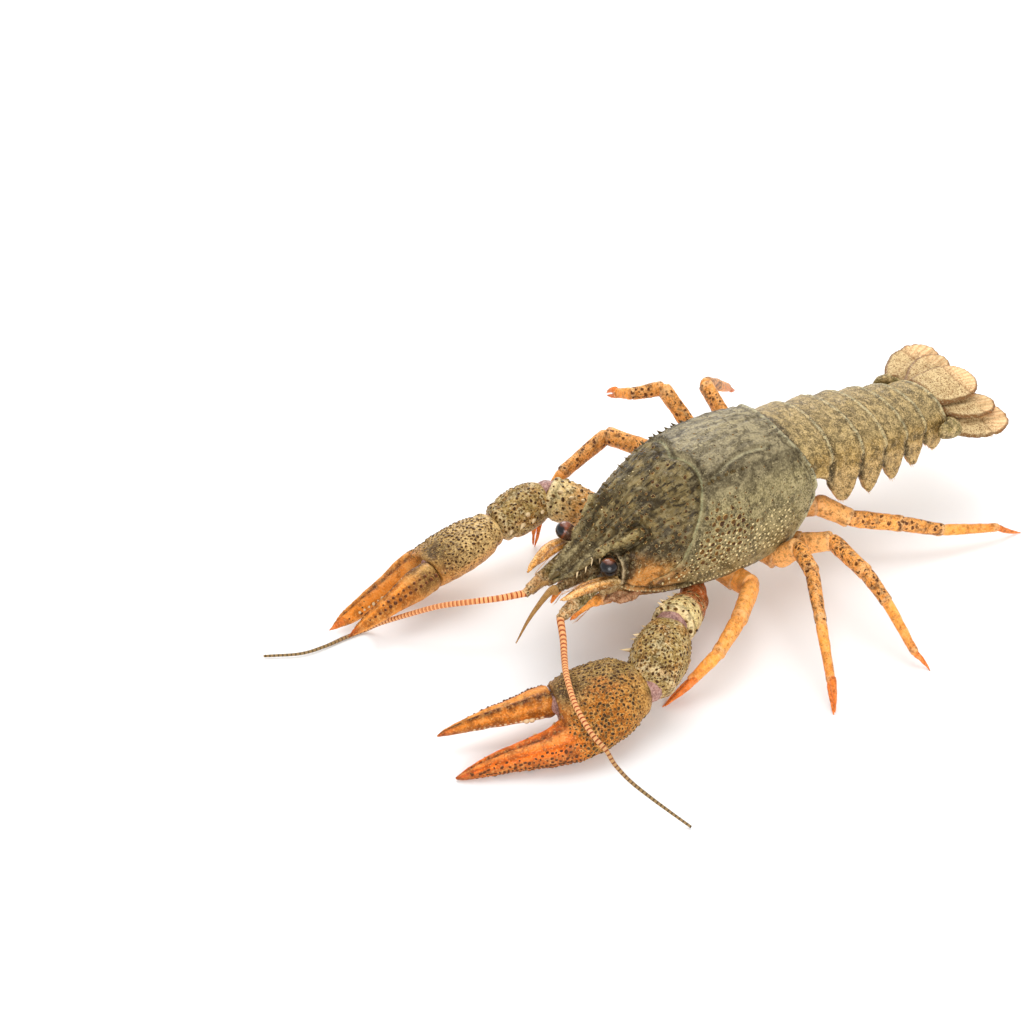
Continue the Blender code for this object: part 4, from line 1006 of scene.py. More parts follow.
def make_carapace(sizes, hue):
    """Makes the carapace with its pits, granules, thorns and spines."""
    body, places, normals = fine_skin("carapace", merged_copy("cephalothorax"), sizes.skin_face, 4, 1)
    neck, head = shape_carapace(body, places, normals, sizes, hue)
    finish_piece(body, "Carapace", "carapace", "cephalothorax")
    along = places[:, 1]
    height = places[:, 2]
    above = ramp(15.0, 17.0, height) * ramp(-49.0, -46.0, along)
    near_groove = np.hypot((along + 23.5) / 9.0, (height - 24.0) / 7.5)
    plain_cheek = ramp(4.0, 7.5, gap_from(half_places(places), CHEEK))
    pits = np.maximum((1.0 - head) * above * ramp(1.5, 0.5, near_groove), 0.3 * head * above)
    scatter("carapace_pits", body, pits * (1.0 - bell(neck, 1.4)) * plain_cheek, "carapace", "Tubercle",
            sizes.seed, 1.45, 0.5, 0.4, length=1.15)
    dots = 0.6 * above * ramp(36.0, 30.0, height) * ramp(-10.0, -20.0, along) + 0.25 * above
    scatter("carapace_dots", body, dots * (1.0 - bell(neck, 1.0)) * plain_cheek, "carapace", "Tubercle",
            sizes.seed + 2, 1.3, 0.24, 0.5, 0.5)
    flank = (1.0 - head) * above * ramp(31.0, 22.0, height) * ramp(-2.0, -6.0, along)
    scatter("carapace_granules", body, flank * (1.0 - bell(neck, 1.2)) + 0.05 * head * above, "carapace",
            "Granule", sizes.seed + 1, 1.05, 0.24, 0.6)
    tree = surface_tree(body)
    edges, rims, thorns, crest, spines = [], [], [], [], []
    for sign in (1.0, -1.0):
        margin = mirrored(BEAK_MARGIN, sign)
        rims.append(rest_on(tree, smooth_route(margin, 30), (sign * 0.5, -0.5, 0.3), 0.26, 0.12))
        behind = [(sign * (x + 0.3), y - 1.2, z) for x, y, z in NECK_GROOVE[5:11]]
        rims.append(rest_on(tree, smooth_route(behind, 20), (0.0, -0.8, 0.2), 0.22, 0.1))
        lower = smooth_route(mirrored(LOWER_EDGE, sign), 40)
        edges.append(rest_on(tree, lower, (0.0, 0.0, 0.0), 0.24, 0.08))
        for foot, tilt, radius, length in HEAD_THORNS:
            point, lean, girth = rest_on(tree, mirrored((foot,), sign), mirrored((tilt,), sign)[0], radius, 0.2)[0]
            thorns.append((point, lean, length * sizes.spine_length, girth))
        for step in range(21):
            at = -44.0 + 1.45 * step + 0.5 * math.sin(step * 2.3)
            strip = np.flatnonzero((np.abs(along - at) < 0.6) & (places[:, 0] < 0.0) & (height > 22.0))
            x, y, z = places[strip[np.abs(normals[strip, 2] - 0.72).argmin()]]
            point, lean, girth = rest_on(tree, [(-sign * x, y, z)], (sign * 0.3, -1.1, 0.5), 0.45, 0.15)[0]
            crest.append((point, lean, (1.2 + 0.35 * math.sin(step * 1.7)) * sizes.spine_length, girth))
        for place in mirrored(BEAK_SPINES, sign):
            foot = tree.find_nearest(Vector(place))[0] - Vector((sign * 0.3, 0.0, 0.0))
            spines.append((foot, (sign * 0.8, -0.7, -0.6), 1.7 * sizes.spine_length, 0.34))
    rows("carapace_edge_grains", edges, "carapace", "Granule", sizes.seed, 0.95, 1.1, 0.45)
    rows("carapace_rim_grains", rims, "carapace", "Thorn", sizes.seed, 1.2, 1.4, 0.25, 0.45)
    beak_tip = ((0.0, -55.0, 20.6), (0.0, -1.0, -0.42), 2.3, 0.75)
    make_spines("carapace_thorns", crest + thorns + [beak_tip], "Thorn", "carapace")
    make_spines("carapace_spines", spines, "Spine", "carapace")


def make_spines(name, spines, finish, slot):
    """Makes loose spines, each given by its foot, direction, length and radius, as one piece."""
    bm = bmesh.new()
    for spine in spines:
        add_spine(bm, *spine)
    piece = object_from_bmesh(name, bm)
    put_value(piece.data, "tip", np.full(len(piece.data.vertices), SPINE_TIP))
    piece.data.shade_smooth()
    finish_piece(piece, finish, slot)


# Tail

def tail_distances(places):
    """Distance along the tail from its start, and depth below its back."""
    y = places[:, 1] - TAIL_START[0]
    z = places[:, 2] - TAIL_START[1]
    along = y * math.cos(TAIL_PITCH) - z * math.sin(TAIL_PITCH)
    depth = -y * math.sin(TAIL_PITCH) - z * math.cos(TAIL_PITCH)
    return along, depth


def tail_depth(distance, whole):
    """Depth from the back to the belly at a distance along the tail."""
    return TAIL_DEPTHS[0] + (TAIL_DEPTHS[1] - TAIL_DEPTHS[0]) * distance / whole


def plate_rings(number, fronts):
    """Sections of a tail plate: its arch, its leaf-shaped side lobes and the belly between them."""
    widths = (11.6,) + PLATE_HALF_WIDTHS
    rings = []
    for part in [step / (PLATE_RINGS - 1) for step in range(PLATE_RINGS)]:
        distance = fronts[number] + 0.05 + (fronts[number + 1] - fronts[number] - 0.1) * part
        depth = tail_depth(distance, fronts[-1])
        side_top = depth * 0.66
        leaf = math.sin(math.pi * part ** LOBE_LEANS[number]) ** LOBE_FULLNESS
        low = depth * 0.92 + (PLATE_LOBES[number] - depth * 0.92) * leaf
        wide = widths[number] + (widths[number + 1] - widths[number]) * part + 0.5 * part
        angles = [math.radians(90.0 - 90.0 * turn / 12) for turn in range(13)]
        half = [(wide * math.cos(angle), side_top * (1.0 - math.sin(angle))) for angle in angles]
        half += [(wide + LOBE_FLARE * math.sin(math.pi * share * 0.6), side_top + (low - side_top) * share)
                 for share in (0.2, 0.5, 0.8, 0.95, 1.0)]
        half += [(wide - 0.9, max(depth * 0.76, side_top + (low - side_top) * share))
                 for share in (0.97, 0.7, 0.4)]
        half += [(wide - 1.9, depth * 0.9), (wide * 0.55, depth), (0.0, depth)]
        rise = Vector((0.0, 0.0, 0.45 * part))
        half = [(x, d, distance - LOBE_SHIFT * float(ramp(0.4, 0.8, d / depth)) * (x > 3.0)) for x, d in half]
        points = [tail_point(away, x, d) + rise for x, d, away in half]
        rings.append(points + [tail_point(away, -x, d) + rise for x, d, away in half[-2:0:-1]])
    return rings


def tail_point(distance, x, depth):
    """A point of the tail from its distance along the back, its side and its depth below the back."""
    along = Vector((0.0, math.cos(TAIL_PITCH), -math.sin(TAIL_PITCH)))
    down = Vector((0.0, -math.sin(TAIL_PITCH), -math.cos(TAIL_PITCH)))
    return Vector((x, *TAIL_START)) + along * distance + down * depth


def make_tail(sizes, hue):
    """Makes the six arched plates of the tail with their furrows, rims and side lobes."""
    fronts = [0.0] + [(y - TAIL_START[0]) / math.cos(TAIL_PITCH) for y in PLATE_REARS]
    for number in range(len(PLATE_REARS)):
        bm = bmesh.new()
        add_loft(bm, plate_rings(number, fronts))
        plate, places, normals = fine_skin(f"tail_plate_{number + 1}", bm, TAIL_FACE, 3)
        along, depth = tail_distances(places)
        depth = depth * TAIL_DEPTHS[0] / tail_depth(along, fronts[-1])
        hang = PLATE_LOBES[number] * TAIL_DEPTHS[0] / tail_depth(along, fronts[-1])
        length = fronts[number + 1] - fronts[number]
        part = (along - fronts[number]) / length
        from_rear = (1.0 - part) * length
        arch = ramp(7.6, 5.4, depth)
        cloud = lumps(places, 2.4, 11 + number)
        furrow = bell(part - 0.42 - 0.02 * depth, 0.08)
        push = 0.12 + 0.36 * ramp(5.0, 0.4, from_rear) + 0.12 * bell(from_rear - 0.3, 0.3)
        push -= 0.16 * bell(from_rear - 1.0, 0.35)
        push -= 0.2 * furrow * arch
        push -= 0.36 * ramp(0.18, 0.0, part)
        push -= 0.14 * bell(depth - 6.9, 0.6) * ramp(0.7, 0.4, part)
        push += 0.07 * lumps(places, 0.9, 12) + 0.1 * cloud
        belly = ramp(0.2, -0.3, normals[:, 2]) * (np.abs(places[:, 0]) < PLATE_HALF_WIDTHS[number] - 2.4)
        push_skin(plate, places, normals, push * (1.0 - 0.8 * belly))
        spot = bell(depth - 6.2, 1.3) * bell(part - 0.45, 0.28) * ramp(-0.5, 0.3, cloud)
        dress(plate.data, 0.75 + 0.35 * cloud, hue.tail_side,
              (hue.tail_top, ramp(5.6, 1.6, depth + 0.7 * cloud)),
              (hue.lobe, ramp(6.4, 9.0, depth + 0.5 * cloud)),
              # Painted shade in the furrow across the plate.
              (hue.dark, furrow * arch * 0.3),
              # Painted shade in the small groove before the rear rim.
              (hue.dark, bell(from_rear - 1.1, 0.35) * 0.5),
              (hue.rim_line, bell(from_rear - 0.55, 0.17) * 0.8),
              # Painted contact shade where the plates overlap: under the rear lip, and on the front of the plate
              # beneath the plate before.
              (hue.dark, ramp(0.25, 0.0, from_rear) * 0.7),
              (hue.dark, ramp(0.22, 0.08, part) * 0.95),
              (hue.dark, spot * 0.75),
              (hue.dark, ramp(0.05, 0.5, lumps(places, 1.5, 14)) * arch * 0.35),
              (hue.tail_light, ramp(0.0, 0.55, lumps(places, 2.2, 15)) * 0.22),
              (hue.dark, ramp(0.9, 0.3, hang - depth) * 0.5),
              ((0.66, 0.5, 0.34), belly * 0.85))
        finish_piece(plate, "Tail plates", "abdomen", f"abdomen_{number + 1}")
        lobe_hairs(plate, number, sizes)


def lobe_hairs(plate, number, sizes):
    """A short fringe along the lower edge of each side lobe."""
    places, _ = read_places(plate.data)
    routes = []
    for sign in (1.0, -1.0):
        outer = places[places[:, 0] * sign > PLATE_HALF_WIDTHS[number] - 3.0]
        if not len(outer):
            continue
        bins = np.linspace(outer[:, 1].min() + 0.6, outer[:, 1].max() - 0.6, 9)
        route = []
        for low, high in zip(bins, bins[1:]):
            strip = outer[(outer[:, 1] >= low) & (outer[:, 1] <= high)]
            if len(strip):
                lowest = strip[strip[:, 2].argmin()]
                route.append((Vector(lowest) + UP * 0.15, (sign * 0.15, 0.35, -1.0), HAIR_RADIUS))
        if len(route) > 1:
            routes.append(route)
    rows(f"tail_lobe_fringe_{number + 1}", routes, "abdomen", "Fringe", sizes.seed + number, 0.32, 14.0,
         0.2, 0.3)


# Tail fan

def fan_place(name):
    """Places a tail blade's own axes: y along the blade and z through it."""
    telson_root = Vector(FAN_BLADES["telson"][0])
    turn = Matrix.Rotation(math.radians(10.0), 4, "Y") @ Matrix.Rotation(math.radians(-4.0), 4, "X")
    tilt = Matrix.Translation(telson_root) @ turn @ Matrix.Translation(-telson_root)
    root, aside, _, _ = FAN_BLADES[name]
    return tilt @ Matrix.Translation(root) @ Matrix.Rotation(math.radians(-aside), 4, "Z")


def blade_width(part, half_width, root_share):
    """Half the width of a tail blade at a share of its length."""
    opened = np.sin(math.pi * 0.5 * np.clip(part / 0.5, 0.0, 1.0))
    before = half_width * (root_share + (1.0 - root_share) * opened)
    fall = np.clip((part - 0.5) / 0.52, 0.0, 1.0)
    return np.where(part < 0.5, before, half_width * np.sqrt(np.maximum(1.0 - fall ** 2.4, 0.02)))


def local_places(places, matrix):
    inverse = np.array(matrix.inverted())
    return places @ inverse[:3, :3].T + inverse[:3, 3]


def outline_distance(local, corners=72):
    """Distance of each place of a flat blade from the blade's own outline."""
    flat = np.column_stack((local[:, 0], local[:, 1], np.zeros(len(local))))
    centre = (flat.min(axis=0) + flat.max(axis=0)) / 2.0
    from_centre = flat - centre
    reach = np.linalg.norm(from_centre, axis=1)
    sector = ((np.arctan2(from_centre[:, 1], from_centre[:, 0]) / math.tau + 0.5) * corners).astype(int) % corners
    outline = [flat[members[reach[members].argmax()]]
               for members in (np.flatnonzero(sector == number) for number in range(corners)) if len(members)]
    gap, _ = route_distance(flat, outline + outline[:1], mirrored=False)
    return gap


def make_tail_fan(sizes, hue):
    """Makes the middle plate and the four side blades, ribbed and edged with a fringe, and their bases."""
    for name, (_, _, length, half_width) in FAN_BLADES.items():
        telson = name == "telson"
        outer = name.endswith("outer")
        title = "fan_middle" if telson else name.replace("tail_blade", "fan_blade")
        blade, places, normals = fine_skin(title, merged_copy(name), FAN_FACE, 3, 1)
        matrix = fan_place(name)
        local = local_places(places, matrix)
        aside = np.abs(local[:, 0])
        part = np.clip(local[:, 1] / length, 0.0, 1.0)
        edge = outline_distance(local)
        cloud = lumps(places, 2.0, 21)
        bearing = np.arctan2(local[:, 0], np.maximum(local[:, 1] + 0.25 * length, 0.1))
        ribs = np.sin(bearing * 95.0) * ramp(0.5, 0.75, part)
        keel = bell(local[:, 0], 0.55) * ramp(-0.2, 0.3, normals[:, 2]) * (not telson)
        seam = bell(part - (0.6 if outer else 0.62) - 0.01 * aside, 0.022) * (telson or outer)
        push = 0.12 + 0.2 * keel + 0.14 * bell(edge - 0.4, 0.4) + 0.05 * ribs + 0.06 * cloud - 0.28 * seam
        if telson:
            push -= 0.2 * bell(aside - 2.6, 0.8) * ramp(0.7, 0.2, part)
            push += 0.22 * bell(part - 0.12, 0.06)
        stretch = ROOT_STRETCH.get(name, 0.0) * ramp(2.0, 0.0, local[:, 1])
        push_skin(blade, places - stretch[:, None] * np.array(matrix.col[1].xyz), normals, push)
        dress(blade.data, ramp(1.0, 0.5, part) * 0.8 + 0.2, hue.fan,
              (hue.fan_tip, ramp(0.5, 0.85, part + 0.08 * cloud) * (1.0 if telson or outer else 0.5)),
              (hue.tail_top, ramp(0.3, 0.0, part) * 0.5),
              ((0.13, 0.05, 0.014), ramp(0.62, 0.3, edge) * 0.92),
              (hue.spine, bell(edge - 0.95, 0.22) * 0.35),
              ((0.5, 0.16, 0.035), ramp(0.3, 1.0, ribs) * 0.45),
              ((0.25, 0.12, 0.04), seam * 0.6),
              ((0.36, 0.22, 0.09), bell(aside - 0.9, 0.35) * 0.5 * (not telson)))
        finish_piece(blade, "Tail fan", "tail_fan", name)

        rim = []
        for step in range(8, 48):
            angle = math.pi * (0.06 + 0.88 * step / 55)
            share = math.sin(angle) * 0.985
            x = half_width * -math.cos(angle) * (1.0 if share > 0.5 else 0.9)
            far = float(blade_width(np.array([share]), half_width, 0.82 if telson else 0.42)[0])
            x = math.copysign(min(abs(x), far), x)
            lean = matrix.to_3x3() @ Vector((x / half_width * 0.7, 1.0, -0.05))
            rim.append((matrix @ Vector((x * 0.985, length * share, 0.0)), lean.normalized(), HAIR_RADIUS))
        rows(f"{title}_fringe", [rim], "tail_fan", "Fringe", sizes.seed, 0.3,
             sizes.fringe_length / HAIR_RADIUS, 0.15, 0.35)
    for side in SIGNS:
        base, places, normals = fine_skin(
            f"fan_base_{side}", merged_copy(f"tail_base_{side}"), TAIL_FACE, 3, 1)
        cloud = lumps(places, 1.8, 31)
        lift = np.array((0.0, 0.0, 0.0) if side == "left" else (0.4, -0.4, 1.0))
        push_skin(base, places + lift, normals, 0.5 + 0.2 * cloud)
        dress(base.data, 0.8 + 0.3 * cloud, (0.24, 0.18, 0.06),
              (hue.fan, ramp(-0.1, 0.6, cloud) * 0.6),
              (hue.fan_tip, ramp(47.0, 48.6, places[:, 1]) * 0.7))
        finish_piece(base, "Tail plates", "abdomen", f"tail_base_{side}")


# Claws

def claw_matrix(side, arm):
    """Places a claw's own axes: x along the claw, y to its outer side, z up through its palm."""
    heading, pitch, roll = (math.radians(arm[turn]) for turn in ("heading", "pitch", "roll"))
    level = math.cos(pitch)
    forward = Vector((math.sin(heading) * level, -math.cos(heading) * level, math.sin(pitch)))
    outward = forward.cross(UP).normalized() * -SIGNS[side]
    rise = (UP - forward * forward.z).normalized()
    turned_outward = outward * math.cos(roll) - rise * math.sin(roll)
    turned_rise = rise * math.cos(roll) + outward * math.sin(roll)
    place = Matrix((forward, turned_outward * arm["girth"], turned_rise)).transposed().to_4x4()
    place.translation = Vector(arm["joints"][-1])
    return place


def claw_rings(stations, matrix):
    """Sections of a claw piece, a little flatter below than above."""
    rings = []
    first, last = stations[0][0], stations[-1][0]
    for step in range(CLAW_RINGS):
        place = first + (last - first) * step / (CLAW_RINGS - 1)
        inner, outer, thickness = smooth_table(stations, place)
        middle = (inner + outer) * 0.5
        wide = (outer - inner) * 0.5
        rings.append([matrix @ Vector((place, middle + wide * x, y * thickness * (0.54 if y > 0 else 0.46)))
                      for x, y in circle(CLAW_SIDES)])
    return rings


def station_values(stations, along):
    """Inner edge, outer edge and thickness of a claw piece at each of many distances along it."""
    grid = np.linspace(stations[0][0], stations[-1][0], 80)
    table = np.array([smooth_table(stations, place) for place in grid])
    return [np.interp(along, grid, table[:, column]) for column in range(3)]


def claw_piece(name, lofts, face, matrix):
    """Makes a piece of a claw; gives its vertices' own places, and the ridges and furrows along it."""
    bm = bmesh.new()
    for stations in lofts:
        add_loft(bm, claw_rings(stations, matrix))
    piece, places, normals = fine_skin(name, bm, face, 4)
    local = local_places(places, matrix)
    inner, outer, thickness = station_values(lofts[-1], local[:, 0])
    wide = np.maximum((outer - inner) * 0.5, 0.3)
    share = (local[:, 1] - (inner + outer) * 0.5) / wide
    upper = ramp(0.05, 0.4, local[:, 2] / np.maximum(thickness * 0.5, 0.3))
    ridge = bell(share - 0.05, 0.17) * upper
    furrow = (bell(share - 0.42, 0.13) + bell(share + 0.34, 0.13)) * upper
    return piece, places, normals, local, share, upper, ridge, furrow


def edge_route(base, stations, column, first, last, count, lift=0.0):
    """Points along the inner or outer edge of a claw piece."""
    return [base @ Vector((place, smooth_table(stations, place)[column], lift))
            for place in np.linspace(first, last, count)]


def make_claw(side, arm, sizes, hue):
    """Makes the palm with its fixed finger, the moving finger, their tubercles and their teeth."""
    matrix = claw_matrix(side, arm)
    toward = np.array(matrix.to_3x3())
    forward = Vector(toward[:, 0])
    near = side == "left"
    seed = sizes.seed + (0 if near else 40)
    slimmer = 0.0 if near else 0.45
    palm, places, normals, local, share, upper, ridge, furrow = claw_piece(
        f"claw_palm_{side}", (PALM_STATIONS, FIXED_FINGER_STATIONS), CLAW_FACE, matrix)
    along, across = local[:, 0], local[:, 1]
    finger = ramp(16.0, 20.5, along)
    cloud = lumps(places, 3.2, 5)
    hinge = gap_from(local, (16.6, -3.2, 3.0), (1.1, 1.5, 1.5))
    push = finger * (0.38 * ridge - 0.3 * furrow) * ramp(42.0, 38.0, along)
    push += 0.1 * cloud + 0.05 * lumps(places, 0.9, 6) - slimmer * ramp(20.0, 27.0, along)
    push -= 0.4 * bell(hinge, 1.7)
    push += 0.3 * bell(along - 1.6, 0.8)
    push -= 0.25 * bell(along - 3.4, 0.8)
    push_skin(palm, places, normals, push)
    inner_dark = ramp(9.0, 15.0, along) * ramp(22.0, 18.0, along) * ramp(1.0, -4.0, across)
    broken = 0.5 + 0.5 * ramp(-0.5, 0.2, lumps(places, 1.1, 9))
    olive = ramp(-0.3, 0.5, cloud + 0.2 * (-1.0 - across)) * ramp(22.0, 12.0, along)
    dress(palm.data, 1.0 - 0.8 * finger + 0.2 * cloud, hue.palm,
          (hue.wrist, ramp(9.0, 1.0, along + 1.5 * cloud) * 0.6),
          (hue.palm_olive, olive * (0.9 if near else 0.4)),
          (hue.far_palm, ramp(22.0, 12.0, along) * 0.85 * (not near)),
          (hue.finger if near else hue.moving_finger, ramp(14.5, 22.0, along + 1.6 * cloud)),
          (hue.palm_dark, inner_dark * (0.7 if near else 0.3)),
          (hue.finger_tip, ramp(37.0, 42.0, along) * 0.8),
          (hue.finger_dark, finger * bell(share + 0.3, 0.26) * upper * 0.95 * broken),
          (hue.finger_dark, finger * bell(share - 0.42, 0.12) * upper * 0.5 * broken),
          ((0.34, 0.1, 0.02), finger * ramp(0.62, 0.85, share) * 0.75),
          (hue.finger_pale, finger * ridge * 0.4),
          (hue.palm_olive, bell(hinge, 3.6) * 0.9),
          (hue.dark, bell(hinge, 2.8) * 0.95),
          (hue.under, ramp(-0.1, -0.8, normals @ toward[:, 2]) * 0.75))
    finish_piece(palm, "Claw", "claw", f"claw_{side}_palm")
    body = ramp(1.4, 3.0, along) * (1.0 - 0.9 * ramp(15.0, 21.0, along))
    scatter(f"claw_palm_tubercles_{side}", palm,
            body * ramp(-0.75, -0.1, normals @ toward[:, 2]) * (1.0 - bell(hinge, 2.0)), "claw",
            "Tubercle", seed, sizes.tubercle_spacing, sizes.tubercle_size, 0.7)
    side_band = ramp(0.35, 0.75, share) * finger + 0.25 * finger * (1.0 - upper)
    scatter(f"claw_finger_grains_{side}", palm, side_band * ramp(42.0, 38.0, along), "claw", "Finger tooth",
            seed + 1, 0.85, 0.3, 0.6)
    tree = surface_tree(palm)
    rows(f"claw_inner_tubercles_{side}", [
        rest_on(tree, edge_route(matrix, PALM_STATIONS, 0, 3.0, 17.0, 12, 1.0), forward * 0.6, 0.5, 0.3),
        rest_on(tree, edge_route(matrix, PALM_STATIONS, 0, 4.4, 16.0, 10, 2.6), forward * 0.5, 0.38, 0.3),
    ], "claw", "Pale tubercle", seed, 1.45, 1.1, 0.3)
    rows(f"claw_outer_teeth_{side}", [
        rest_on(tree, edge_route(matrix, FIXED_FINGER_STATIONS, 1, 18.0, 40.0, 20, 0.4), forward * 0.7,
                OUTER_TEETH, 0.12)], "claw", "Finger tooth", seed, 0.85, 1.0, 0.35)
    rows(f"claw_biting_teeth_{side}", [
        rest_on(tree, edge_route(matrix, FIXED_FINGER_STATIONS, 0, 20.5, 40.0, 20), (0.0, 0.0, 0.0),
                FIXED_TEETH, 0.35)], "claw", "Spine", seed + 3, 1.15, 0.85, 0.55)

    turn = Matrix.Rotation(math.radians(-arm["opening"]), 4, "Z")
    place = matrix @ (Matrix.Translation((*MOVING_FINGER_HINGE, 0.0)) @ turn)
    mover, places, normals, local, share, upper, ridge, furrow = claw_piece(
        f"claw_moving_finger_{side}", (MOVING_FINGER_STATIONS,), FINGER_FACE, place)
    along = local[:, 0]
    cloud = lumps(places, 2.8, 8)
    tip = ramp(24.0, 20.0, along)
    push = (0.36 * ridge - 0.3 * furrow) * tip * ramp(1.0, 4.0, along) + 0.09 * cloud
    push -= slimmer * ramp(5.0, 12.0, along)
    push += 0.25 * bell(along - 1.2, 0.8)
    push_skin(mover, places, normals, push)
    broken = 0.5 + 0.5 * ramp(-0.5, 0.2, lumps(places, 1.1, 10))
    dress(mover.data, 0.3 + 0.2 * cloud, hue.moving_finger,
          (hue.palm, ramp(6.0, 0.5, along + cloud) * 0.6),
          (hue.palm_olive, ramp(9.0, 3.0, along + cloud) * 0.8 * (not near)),
          (hue.finger_tip, ramp(19.0, 23.5, along) * 0.8),
          (hue.finger_dark, bell(share - 0.08, 0.32) * upper * broken),
          (hue.finger_dark, ramp(0.6, 0.9, share) * 0.6 * broken),
          (hue.finger_dark, ramp(-0.7, -0.92, share) * 0.5),
          (hue.finger_pale, bell(share + 0.42, 0.14) * upper * 0.5),
          (hue.under, ramp(-0.1, -0.8, normals @ toward[:, 2]) * 0.7))
    finish_piece(mover, "Claw", "claw", f"claw_{side}_finger")
    tree = surface_tree(mover)
    rows(f"claw_upper_tubercles_{side}", [
        rest_on(tree, edge_route(place, MOVING_FINGER_STATIONS, 0, 0.8, 19.5, 16, 0.5), forward * 0.6,
                UPPER_TUBERCLES, 0.2),
        rest_on(tree, edge_route(place, MOVING_FINGER_STATIONS, 0, 1.6, 14.0, 12, 1.9), forward * 0.6,
                0.42, 0.2),
    ], "claw", "Finger tooth", seed + 4, 1.3, 1.1, 0.35)
    rows(f"claw_moving_teeth_{side}", [
        rest_on(tree, edge_route(place, MOVING_FINGER_STATIONS, 1, 3.0, 22.0, 20), (0.0, 0.0, 0.0),
                MOVING_TEETH, 0.3)], "claw", "Spine", seed + 5, 1.05, 0.85, 0.5)
    return matrix


def make_arm(side, arm, matrix, sizes, hue):
    """Makes the arm and the wrist of a claw, their spines and the skin between them."""
    sign = SIGNS[side]
    near = side == "left"
    seed = sizes.seed + (7 if near else 57)
    root, elbow, knee, wrist = (Vector(point) for point in arm["joints"])
    route = [root, root.lerp(elbow, 0.6), elbow.lerp(root, 0.06)]
    route += [elbow.lerp(knee, share) for share in (0.04, 0.12, 0.35, 0.72, 0.9, 0.97)]
    bm = bmesh.new()
    add_tube(bm, route, (2.6, 2.9, 3.2, 2.85, 3.5, 4.1, 4.75, 4.6, 3.6), 40, 32)
    piece, places, normals = fine_skin(f"claw_arm_{side}", bm, CLAW_FACE, 3)
    part = (places - np.array(elbow)) @ np.array(knee - elbow) / (knee - elbow).length_squared
    cloud = lumps(places, 2.4, 41)
    push = 0.14 * cloud - 0.35 * bell(part - 0.12, 0.035) - 0.25 * bell(part - 0.86, 0.03)
    push += 0.3 * bell(part - 0.93, 0.04)
    push_skin(piece, places, normals, push)
    base_end, base_start = (0.52, 0.42) if near else (0.16, 0.06)
    glow = ramp(-0.1, 0.6, cloud) * 0.45 if near else ramp(0.95, 0.45, part + 0.1 * cloud)
    dress(piece.data, (0.6 + 0.4 * cloud) * ramp(-0.1, 0.2, part), hue.arm,
          (hue.arm_base, ramp(base_end, base_start, part)),
          ((0.66, 0.26, 0.04), glow * ramp(0.0, 0.15, part) * 0.85),
          (hue.spine, bell(part - 0.93, 0.04) * 0.6),
          (hue.dark, bell(part - 0.12, 0.02) * 0.6),
          (hue.dark, bell(part - 0.86, 0.025) * 0.5),
          (hue.under, ramp(-0.2, -0.9, normals[:, 2]) * ramp(0.0, 0.2, part) * 0.7))
    finish_piece(piece, "Arm", "claw", f"claw_{side}_arm")
    scatter(f"claw_arm_grains_{side}", piece, ramp(0.1, 0.3, part) * ramp(-0.5, 0.2, normals[:, 2]), "claw",
            "Tubercle", seed, 1.5, 0.34, 0.6)
    arm_tree = surface_tree(piece)

    girth = 1.0 if near else 0.86
    bm = bmesh.new()
    add_tube(bm, [knee.lerp(wrist, share) for share in (-0.02, 0.06, 0.2, 0.5, 0.78, 0.93, 1.02)],
             [radius * girth for radius in (3.0, 4.3, 5.3, 6.1, 5.5, 4.6, 3.2)], 32, 36)
    piece, places, normals = fine_skin(f"claw_wrist_{side}", bm, CLAW_FACE, 4)
    axis = wrist - knee
    part = (places - np.array(knee)) @ np.array(axis) / axis.length_squared
    upward = UP - axis.normalized() * axis.normalized().z
    across = axis.normalized().cross(upward.normalized()) * sign
    aside = (places - (np.array(knee) + part[:, None] * np.array(axis))) @ np.array(across)
    cloud = lumps(places, 2.6, 43)
    furrow = bell(aside + 0.6 - 1.2 * (part - 0.5), 0.7) * ramp(0.0, 0.6, normals[:, 2])
    furrow = furrow * ramp(0.1, 0.3, part) * ramp(0.9, 0.7, part)
    push = 0.16 * cloud - 0.5 * furrow + 0.22 * bell(part - 0.9, 0.05) - 0.25 * bell(part - 0.8, 0.04)
    push_skin(piece, places, normals, push)
    dress(piece.data, 0.8 + 0.3 * cloud, hue.wrist,
          (hue.palm, ramp(0.0, 0.7, cloud) * 0.5),
          # Painted shade in the furrow along the wrist.
          (hue.dark, furrow * 0.5),
          (hue.spine, bell(part - 0.9, 0.05) * 0.45),
          (hue.under, ramp(-0.2, -0.9, normals[:, 2]) * 0.7))
    finish_piece(piece, "Arm", "claw", f"claw_{side}_wrist")
    scatter(f"claw_wrist_tubercles_{side}", piece,
            ramp(-0.5, 0.1, normals[:, 2]) * (1.0 - furrow) * ramp(0.08, 0.2, part), "claw", "Tubercle",
            seed + 1, sizes.tubercle_spacing * 1.15, sizes.tubercle_size, 0.6)
    wrist_tree = surface_tree(piece)

    spines = []
    inward = Vector((-sign, 0.0, 0.0))
    for share, length, rise in WRIST_SPINES:
        point = knee.lerp(wrist, share) + inward * 5.6 + UP * rise
        foot, lean, radius = rest_on(wrist_tree, [point], (0.0, -0.8, 0.2), 0.6, 0.2)[0]
        spines.append((foot, lean, length * sizes.spine_length, radius))
    for share, length, rise, way in ARM_SPINES:
        point = elbow.lerp(knee, share) + inward * 3.4 * way + UP * rise
        foot, lean, radius = rest_on(arm_tree, [point], (0.0, -0.9, 0.2 - 0.4 * (way < 0)), 0.55, 0.2)[0]
        spines.append((foot, lean, length * sizes.spine_length, radius))
    make_spines(f"claw_arm_spines_{side}", spines, "Spine", "claw")

